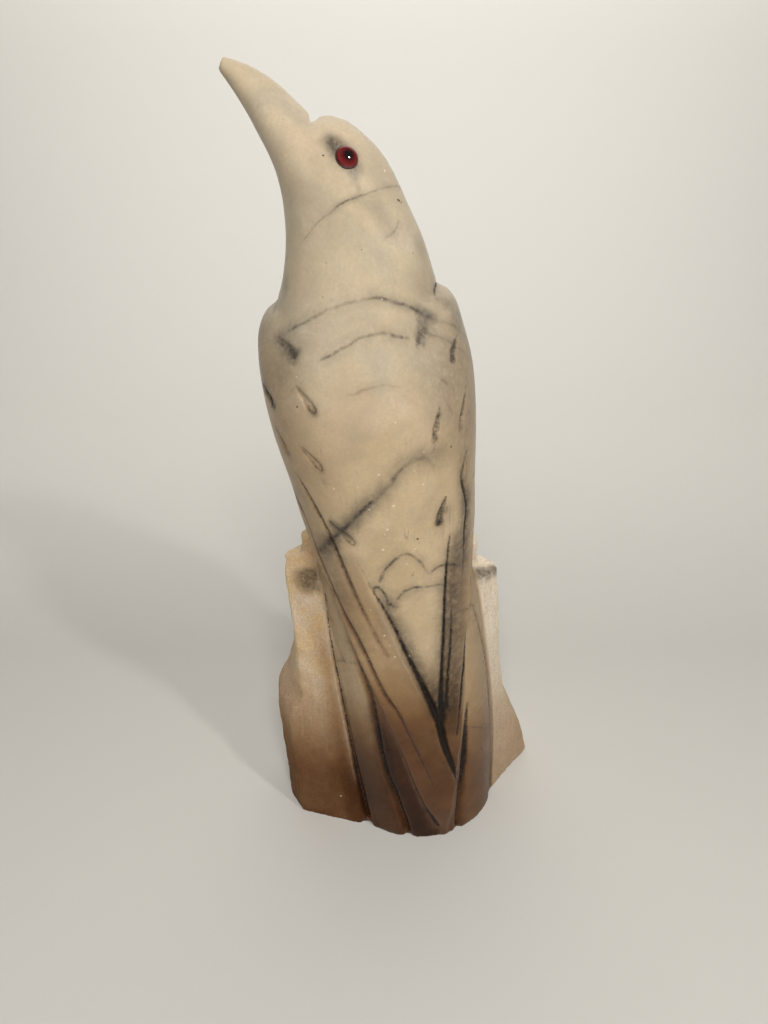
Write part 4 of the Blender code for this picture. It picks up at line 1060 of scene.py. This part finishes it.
# Patina and painted shade: darker outside the wings' inner cuts, on the flanks, under the left wing and
# towards the foot
outer = ease((cut_degrees("left_inner_edge") - degrees + OUTER_OVER) / OUTER_SOFT)
outer = outer + ease((degrees - cut_degrees("right_inner_edge") + OUTER_OVER) / OUTER_SOFT)
outer = np.where(heights < OUTER_EVERYWHERE, 1.0, np.clip(outer, 0.0, 1.0)) * below(*OUTER_DOWN)
flanks = FLANK_LAYERS * round_from(*FLANK_ROUND) * (1 - FLANK_FADE * round_from(*FLANK_FADE_ROUND))
flanks = flanks * below(*FLANK_DOWN)
on_right = ease((degrees - RIGHT_START[0]) / RIGHT_START[1])
tail_line = cut_degrees("tail_left")
beside_tail = ease((tail_line - degrees) / TAIL_SOFT)
under_wing = ease((degrees - tail_line) / WING_SOFT)
under_wing = under_wing * ease((curve(LEFT_WING_EDGE, heights) - degrees) / WING_SOFT)
to_right = ease((points[:, 0] + RIGHT_HALF[0]) / RIGHT_HALF[1])
outer = outer * (OUTER_LAYERS - LESS_ON_RIGHT * on_right - LESS_BY_TAIL * beside_tail)
patina_and_shade = np.maximum(outer, flanks)
blades = mixed(low_down("blades"), low_down("right blade"), on_right)
patina_and_shade = patina_and_shade + mixed(blades, low_down("plank"), beside_tail) + under_wing * low_down("under wing")
by_the_rim = ease((points[:, 0] + RIM_PLACE[0] + RIM_PLACE[1] * heights) / RIM_PLACE[2])
hewn_left = low_down("hewn left") + low_down("hewn left foot") + by_the_rim * low_down("hewn rim")
patina_and_shade = mixed(patina_and_shade, mixed(hewn_left, low_down("hewn right"), to_right), hewn)
# Grime in the cuts, with painted shade along the wings' edges and as a soft edge beside the cuts
grime_and_shade = np.zeros(len(points))
rust = np.zeros(len(points))
for line, _, _, grime_and_shade_widths, dark, rusty, _, ground in cut_lines:
    near, gap, place, _ = nearest(grounds[ground], facing, line, GRIME_AND_SHADE_REACH)
    gap = gap / along_values(grime_and_shade_widths, place)
    share = GRIME_AND_SHADE_CORE * ease(GRIME_AND_SHADE_FULL - gap) + GRIME_AND_SHADE_EDGE * ease(1 - gap / GRIME_AND_SHADE_EDGE_WIDTHS)
    grime_and_shade[near] = np.maximum(grime_and_shade[near], along_values(dark, place) * share)
    rust[near] = np.maximum(rust[near], rusty * ease(GRIME_AND_SHADE_FULL - gap / RUST_WIDTHS))
for edge in BROWN_EDGES:
    near, share = smudge(*edge)
    rust[near] = np.maximum(rust[near], share)
fields = {"stain_and_shade": stain_and_shade, "grime_and_shade": grime_and_shade, "rust": rust, "dark_patches": dark_patches, "patina_and_shade": patina_and_shade, "hewn": hewn}
for number in range(3):
    fields[f"vein_gap_{number}"] = vein_gap[:, 3 * number:3 * number + 3]
    fields[f"vein_dark_{number}"] = vein_dark[:, 3 * number:3 * number + 3]
for field_name, field_values in fields.items():
    set_field(block, field_name, field_values)

# The stone's material
# Mottled cream stone with the drawn veins and stains, a duller crust where it was left hewn with painted
# shade on its ledges, brown patina with painted shade towards the foot and on the flanks, grime and rust in
# the cuts with painted shade beside them, painted highlights along raised edges, small dark pits and pale
# crystal specks with painted glints.
# Mottlings: the noise's scale, detail, roughness and distortion; its range; and what that range becomes
MOTTLES = {
    "clouds": ((42, 4, 0.6, 0.8), 0.35, 0.68), "patches": ((21, 2), 0.42, 0.66),
    "fine": ((190, 5, 0.65), 0.3, 0.7), "grain": ((1100, 3, 0.7), 0.3, 0.7),
    "grey clouds": ((33, 3, 0.6, 1.2), 0.5, 0.72), "broken": ((420, 4, 0.7), 0.3, 0.66, 0.15, 1),
    "smoke": ((170, 6, 0.75), 0.28, 0.68, 0.12, 1), "stained_and_shaded": ((520, 5, 0.7), 0.25, 0.62, 0.5, 1),
    "ochre": ((110, 4, 0.65), 0.3, 0.6), "crystalline": ((1300, 4, 0.75), 0.54, 0.72, 0, 0.65),
    "patchy": ((640, 5, 0.75), 0.25, 0.7, 0.5, 0.9), "patina_and_shade": ((75, 5, 0.65), 0.25, 0.75, 0.84, 1.16),
    "rusty": ((180, 3, 0.6), 0.35, 0.62, 0.35, 0.85), "ragged": ((1400, 2), 0.3, 0.7, 0.7, 1.5),
    "polish": ((55, 3, 0.6), 0.3, 0.7, 0.26, 0.38), "streaks": ((1500, 3, 0.6), 0.3, 0.7, 0.75, 1),
    "glass": ((900, 2), 0.3, 0.7, 0.05, 0.12),
}
# The stone's mottlings in order, and how strong each is
STONE_LAYERS = (("clouds", 1), ("patches", 0.5), ("fine", 0.32), ("grain", 0.24), ("grey clouds", 0.34))
# Colours as linear red, green and blue
TINTS = {
    "stone": (0.62, 0.52, 0.365), "clouds": (0.7, 0.61, 0.46), "patches": (0.66, 0.52, 0.365),
    "fine": (0.46, 0.39, 0.295), "grain": (0.4, 0.33, 0.25), "grey clouds": (0.35, 0.312, 0.258),
    "warmth": (1.06, 0.975, 0.86), "brown vein": (0.15, 0.085, 0.05), "vein": (0.062, 0.055, 0.052),
    "stain_and_shade": (0.07, 0.06, 0.054), "right crust": (0.92, 0.8, 0.64), "left crust": (0.74, 0.6, 0.45),
    "ochre": (0.76, 0.55, 0.31), "scrapes": (0.9, 0.82, 0.68), "granular": (0.46, 0.34, 0.24),
    "crystalline": (0.98, 0.93, 0.84), "dark_patches": (0.07, 0.05, 0.038), "hewn vein": (0.1, 0.075, 0.06),
    "painted highlight line": (0.66, 0.56, 0.43), "rust": (0.15, 0.066, 0.035), "grime_and_shade": (0.024, 0.019, 0.017),
    "pit": (0.045, 0.025, 0.018), "crystal_glint": (0.9, 0.84, 0.72),
}
# How much of the red, green and blue one layer of the brown patina and painted shade lets through
PATINA_AND_SHADE_PASSES = (0.64, 0.545, 0.455)
# Ranges in metres up or across the carving, and what each becomes
WARM_HEAD, CRUST_SIDE, CRUST_HIGH = (0.145, 0.178, 1, 0), (-0.024, -0.004, 1, 0), (0.045, 0.075, 0.25, 1)
# A vein's core and its smoky edge: half widths, and how dark it is there
VEIN_CORE, VEIN_EDGE = (0, 1.4, 0.78, 0), (0, 6.2, 0.42, 0)
# The noise that makes a vein waver and the one that speckles grime, each with its size
WAVER, SPECKLE = (240, 4, 0.6, 1.8), (800, 6, 0.8, 1.7)
VEIN_STRENGTH, PALE_STRENGTH = 0.92, 0.55
# The hewn skin: upright scrapes and coarse grains, with the part of their noise that shows
SCRAPE_STRETCH, SCRAPE_NOISE, SCRAPES = (1, 1, 0.08), (900, 3, 0.6), (0.52, 0.72, 0, 0.35)
GRANULAR_NOISE, GRANULAR = (1500, 3, 0.7), (0.46, 0.7, 0, 0.5)
DARK_PATCH_RANGE, GRIME_AND_SHADE_RANGE, GRIME_AND_SHADE_LEAST = (0, 0.8), (0.12, 1), (0, 0.15)
# Scattered pits, and pale specks that are painted crystal glints: cells over scale metres, size in a cell,
# which cells, and strength
PIT_SCALE, PIT_SIZE, PIT_CELLS, PIT_STRENGTH = 210, (0.05, 0.1, 1, 0), (0.9, 0.92), 0.22
SPECK_SCALE, SPECK_SIZE, SPECK_CELLS, SPECK_STRENGTH = 170, (0.04, 0.085, 1, 0), (0.91, 0.93), 0.6
# Drawn pits and painted crystal glints: where they start and end in radii, and how dark a pit is
SPOT_CORE, SPOT_EDGE, DRAWN_PIT_STRENGTH = 0.3, 0.95, 0.95
HEWN_ROUGHNESS, GRIME_ROUGHNESS = 0.82, 0.75
HEWN_BUMP, FINE_BUMP, PIT_BUMP, GRIME_BUMP, FINE_BUMP_SCALE = 1.1, 0.25, -0.3, -0.25, 120


def begin(material, settings):
    """A material's tree and its shader, with the settings that are the same all over."""
    material.use_nodes = True
    shader = material.node_tree.nodes["Principled BSDF"]
    for name, value in settings.items():
        shader.inputs[name].default_value = value
    return material.node_tree, shader


def field(name, vector=False):
    """A stored value of the skin."""
    return node('ShaderNodeAttribute', attribute_name=name).outputs["Vector" if vector else "Fac"]


def noise(scale, detail=2.0, roughness=0.5, distortion=0.0, at=None):
    """Fine to coarse mottling, with patches of one over scale metres."""
    inputs = {"Vector": at or here, "Scale": scale, "Detail": detail, "Roughness": roughness,
              "Distortion": distortion}
    return node('ShaderNodeTexNoise', inputs).outputs["Fac"]


def ramp(value, low, high, from_value=0.0, to_value=1.0):
    """A value eased from one range to another."""
    inputs = {"Value": value, "From Min": low, "From Max": high, "To Min": from_value, "To Max": to_value}
    return node('ShaderNodeMapRange', inputs, interpolation_type='SMOOTHSTEP').outputs[0]


def mottled(name):
    """One of the mottlings."""
    of_noise, *of_ramp = MOTTLES[name]
    return ramp(noise(*of_noise), *of_ramp)


def blend(share, one, other, kind='MIX'):
    """One colour mixed with another; a name stands for one of the tints."""
    made = node('ShaderNodeMix', data_type='RGBA', blend_type=kind)
    for key, value in ((0, share), (6, one), (7, other)):
        if isinstance(value, bpy.types.NodeSocket):
            tree.links.new(value, made.inputs[key])
        else:
            made.inputs[key].default_value = (*TINTS[value], 1.0) if isinstance(value, str) else value
    return made.outputs[2]


def parts_of(vector):
    """The three values of a vector."""
    return node('ShaderNodeSeparateXYZ', {0: vector}).outputs


def multiplied(vector, other):
    """Two vectors or colours multiplied part by part."""
    return node('ShaderNodeVectorMath', {0: vector, 1: other}, operation='MULTIPLY').outputs[0]


def waver(scale, detail, roughness, size):
    """Noise about zero."""
    return times(maths('SUBTRACT', noise(scale, detail, roughness), 0.5), size)


def scattered(scale, size, channel, cells):
    """Dots in some of the cells of a cell pattern."""
    cell = node('ShaderNodeTexVoronoi', {"Vector": here, "Scale": scale}).outputs
    picked = ramp(node('ShaderNodeSeparateColor', {0: cell["Color"]}).outputs[channel], *cells)
    return times(ramp(cell["Distance"], *size), picked)


tree, shader = begin(alabaster, {
    "IOR": 1.52, "Specular IOR Level": 0.20, "Subsurface Weight": 0.35,
    "Subsurface Radius": (1.0, 0.72, 0.48), "Subsurface Scale": 0.003})
here = node('ShaderNodeTexCoord').outputs["Object"]
across_here, _, up_here = parts_of(here)
colour = "stone"
for layer, strength in STONE_LAYERS:
    colour = blend(times(mottled(layer), strength), colour, layer)
colour = blend(ramp(up_here, *WARM_HEAD), colour, "warmth", 'MULTIPLY')

# The drawn veins have a wavering course, a darker core and a smoky edge
wavering = waver(*WAVER)
broken = mottled("broken")
smoke = mottled("smoke")
dark_veins, highlight_lines = [], []
for number in range(3):
    gaps, darks = parts_of(field(f"vein_gap_{number}", True)), parts_of(field(f"vein_dark_{number}", True))
    for part in range(3):
        off = maths('ABSOLUTE', maths('ADD', gaps[part], wavering))
        core = times(ramp(off, *VEIN_CORE), broken)
        edge = times(ramp(off, *VEIN_EDGE), smoke)
        vein = times(maths('ADD', core, edge), darks[part])
        if 3 * number + part in VEIN_LAYERS["brown"]:
            colour = blend(vein, colour, "brown vein")
        elif 3 * number + part in VEIN_LAYERS["pale"]:
            highlight_lines.append(vein)
        else:
            dark_veins.append(vein)
veins = times(greatest(*dark_veins), VEIN_STRENGTH)
colour = blend(veins, colour, "vein")
# Stains, with painted shade on the flanks, beside the cuts and low on the rump
colour = blend(times(field("stain_and_shade"), mottled("stained_and_shaded")), colour, "stain_and_shade")

# The hewn stump has an ochre crust on its left and whiter, crystalline stone on its right, made paler still
# as painted light on that side
crust_side = ramp(across_here, *CRUST_SIDE)
scrapes = noise(*SCRAPE_NOISE, at=multiplied(here, SCRAPE_STRETCH))
granular = noise(*GRANULAR_NOISE)
crust = blend(crust_side, "right crust", "left crust")
crust = blend(times(crust_side, ramp(up_here, *CRUST_HIGH), mottled("ochre")), crust, "ochre")
crust = blend(ramp(scrapes, *SCRAPES), crust, "scrapes")
crust = blend(ramp(granular, *GRANULAR), crust, "granular")
crust = blend(mottled("crystalline"), crust, "crystalline")
# Painted shade on the stump's ledges under the bird, and darker patches by the tail
crust = blend(times(ramp(field("dark_patches"), *DARK_PATCH_RANGE), mottled("patchy")), crust, "dark_patches")
colour = blend(field("hewn"), colour, crust)
colour = blend(times(veins, field("hewn")), colour, "hewn vein")

# Patina with painted shade, grime and rust in the cuts with painted shade beside them, painted highlights
# along raised edges, small dark pits, and pale crystal specks with painted glints
patina_and_shade_depth = times(field("patina_and_shade"), mottled("patina_and_shade"))
passed = [maths('POWER', share, patina_and_shade_depth) for share in PATINA_AND_SHADE_PASSES]
colour = multiplied(colour, node('ShaderNodeCombineXYZ', dict(enumerate(passed))).outputs[0])
# Painted highlights along raised edges and ridges
colour = blend(times(greatest(*highlight_lines), PALE_STRENGTH), colour, "painted highlight line")
colour = blend(times(field("rust"), mottled("rusty")), colour, "rust")
# Grime in the cuts, and painted shade along the wings' edges and beside the cuts
grimed_and_shaded = ramp(maths('ADD', field("grime_and_shade"), waver(*SPECKLE)), *GRIME_AND_SHADE_RANGE)
grimed_and_shaded = times(grimed_and_shaded, ramp(field("grime_and_shade"), *GRIME_AND_SHADE_LEAST))
colour = blend(grimed_and_shaded, colour, "grime_and_shade")
ragged = mottled("ragged")
drawn_spots = {}
for spots in (PITS, CRYSTAL_GLINTS):
    dots = []
    for spot_degrees, spot_height, spot_radius in spots:
        middle = points[np.argmin(np.linalg.norm(traced - on_skin(spot_degrees, spot_height), axis=1))]
        off = node('ShaderNodeVectorMath', {0: here, 1: middle * MM}, operation='DISTANCE').outputs[1]
        size = spot_radius * MM
        dots.append(ramp(times(off, ragged), SPOT_CORE * size, SPOT_EDGE * size, 1.0, 0.0))
    drawn_spots[spots] = greatest(*dots)
pits = times(scattered(PIT_SCALE, PIT_SIZE, 0, PIT_CELLS), PIT_STRENGTH)
pits = greatest(pits, times(drawn_spots[PITS], DRAWN_PIT_STRENGTH))
colour = blend(pits, colour, "pit")
# Pale crystal specks, their glints painted in
glint_specks = greatest(scattered(SPECK_SCALE, SPECK_SIZE, 1, SPECK_CELLS), drawn_spots[CRYSTAL_GLINTS])
colour = blend(times(glint_specks, SPECK_STRENGTH), colour, "crystal_glint")
tree.links.new(colour, shader.inputs["Base Color"])

rough = greatest(mottled("polish"), times(field("hewn"), HEWN_ROUGHNESS), times(grimed_and_shaded, GRIME_ROUGHNESS))
tree.links.new(rough, shader.inputs["Roughness"])
hewn_bump = times(maths('ADD', scrapes, granular), times(field("hewn"), HEWN_BUMP))
fine_bump = maths('ADD', times(noise(FINE_BUMP_SCALE), FINE_BUMP), times(pits, PIT_BUMP))
relief = maths('ADD', hewn_bump, maths('ADD', fine_bump, times(grimed_and_shaded, GRIME_BUMP)))
bump = node('ShaderNodeBump', {"Height": relief, "Strength": 0.55, "Distance": 0.0005})
tree.links.new(bump.outputs[0], shader.inputs["Normal"])
block.data.materials.clear()
block.data.materials.append(alabaster)
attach(block, "root")
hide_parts("carved_bird_on_stump")

# The glass eyes
# Bought beads of red glass with a black pupil, cemented into the drilled sockets: a low polished
# dome over a ground edge, with the colour and the pupil behind the clear front.
DOME_RINGS, DOME_FOOT = 14, -0.00045
PUPIL_SHARE, PUPIL, RIM = 0.30, (0.004, 0.002, 0.002), (0.02, 0.002, 0.003)
# Colours between the pupil and the rim, as shares of the way out
IRIS = (
    (PUPIL_SHARE + 0.10, (0.05, 0.002, 0.003)), (0.58, (0.13, 0.006, 0.009)), (0.80, (0.22, 0.018, 0.020)),
    (0.93, (0.11, 0.006, 0.007)),
)
eye_glass = bpy.data.materials.new("red_bead_glass")
tree, shader = begin(eye_glass, {"IOR": 1.52, "Coat Weight": 1.0, "Coat Roughness": 0.02})
iris = node('ShaderNodeValToRGB', {0: field("from_pupil")})
for element, stop, shade in zip(iris.color_ramp.elements, (PUPIL_SHARE, 1.0), (PUPIL, RIM)):
    element.position = stop
    element.color = (*shade, 1.0)
for stop, shade in IRIS:
    iris.color_ramp.elements.new(stop).color = (*shade, 1.0)
here = node('ShaderNodeTexCoord').outputs["Object"]
streaks = mottled("streaks")
streaks = node('ShaderNodeCombineXYZ', {0: streaks, 1: streaks, 2: streaks}).outputs[0]
tree.links.new(multiplied(iris.outputs[0], streaks), shader.inputs["Base Color"])
tree.links.new(mottled("glass"), shader.inputs["Roughness"])
for eye_name, side in (("left_bead_eye", -1), ("right_bead_eye", 1)):
    back = EYE_DOME - EYE_THICKNESS
    profile = [(0.0, back), (EYE_RADIUS - EYE_GROUND_EDGE, back), (EYE_RADIUS, back + EYE_GROUND_EDGE)]
    for ring in range(DOME_RINGS):
        angle = math.pi / 2 * ring / DOME_RINGS
        rise = (EYE_DOME - DOME_FOOT) * math.sin(angle)
        profile.append((EYE_RADIUS * math.cos(angle), DOME_FOOT + rise))
    profile.append((0.0, EYE_DOME))
    bead = turned(eye_name, profile, side)
    bead.data.shade_smooth()
    place, direction = eye_axis(side)
    away = drawn_points(bead) * MM - np.array(place)
    along = away @ np.array(direction)
    radius = np.linalg.norm(away - np.outer(along, direction), axis=1)
    set_field(bead, "from_pupil", radius / EYE_RADIUS)
    bead.data.materials.append(eye_glass)
    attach(bead, "root")
    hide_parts("left_glass_eye" if side < 0 else "right_glass_eye")

# The floor and the backdrop
# A plain pale sheet that curves up behind the carving.
FLOOR_FRONT, FLOOR_BACK, COVE_RADIUS, WALL_HEIGHT, FLOOR_HALF_WIDTH = -1.2, 0.35, 0.25, 1.6, 2.0
COVE_STEPS = 16
sheet_profile = [(FLOOR_FRONT, 0.0)]
for step in range(COVE_STEPS + 1):
    angle = math.pi / 2 * step / COVE_STEPS
    sheet_profile.append((FLOOR_BACK + COVE_RADIUS * math.sin(angle), COVE_RADIUS * (1 - math.cos(angle))))
sheet_profile.append((FLOOR_BACK + COVE_RADIUS, WALL_HEIGHT))
floor_verts = [(x, y, z) for y, z in sheet_profile for x in (-FLOOR_HALF_WIDTH, FLOOR_HALF_WIDTH)]
floor_faces = [(2 * i, 2 * i + 1, 2 * i + 3, 2 * i + 2) for i in range(len(sheet_profile) - 1)]
floor = mesh_from("pale_floor", floor_verts, floor_faces)
floor.data.shade_smooth()
paper = bpy.data.materials.new("pale_paper")
begin(paper, {"Base Color": (0.76, 0.755, 0.73, 1.0), "Roughness": 0.9})
floor.data.materials.append(paper)

# The light
# A soft lamp above and in front of the carving, so that its foot is darker than its head, a small
# one that glints in the eye, one that lights only the backdrop, and a weak light from all round.
LAMP_COLOUR, ROOM_COLOUR, ROOM_STRENGTH = (1.0, 0.965, 0.91), (1.0, 0.95, 0.87, 1.0), 0.13
# Each lamp: name, place, aim, size, watts, whether its reflection shows
LAMPS = (
    ("soft_lamp", (0.0, -0.36, 0.50), (-0.01, 0.0, 0.13), 0.18, 1.74, False),
    ("spark_lamp", (0.24, -0.25, 0.50), (-0.01, 0.0, 0.20), 0.03, 0.55, True),
    ("wall_lamp", (0.0, 0.12, 0.80), (0.0, 0.60, 0.77), 0.90, 6.2, True),
)
for lamp_name, lamp_place, aim, lamp_size, watts, mirrored in LAMPS:
    lamp_data = bpy.data.lights.new(lamp_name, 'AREA')
    lamp_data.energy = watts
    lamp_data.size = lamp_size
    lamp_data.color = LAMP_COLOUR
    lamp = bpy.data.objects.new(lamp_name, lamp_data)
    lamp.location = lamp_place
    lamp.rotation_euler = (Vector(aim) - lamp.location).to_track_quat('-Z', 'Y').to_euler()
    lamp.visible_glossy = mirrored
    scene.collection.objects.link(lamp)
world = bpy.data.worlds.new("soft_room")
world.use_nodes = True
world.node_tree.nodes["Background"].inputs[0].default_value = ROOM_COLOUR
world.node_tree.nodes["Background"].inputs[1].default_value = ROOM_STRENGTH
scene.world = world
scene.view_settings.view_transform = 'Standard'
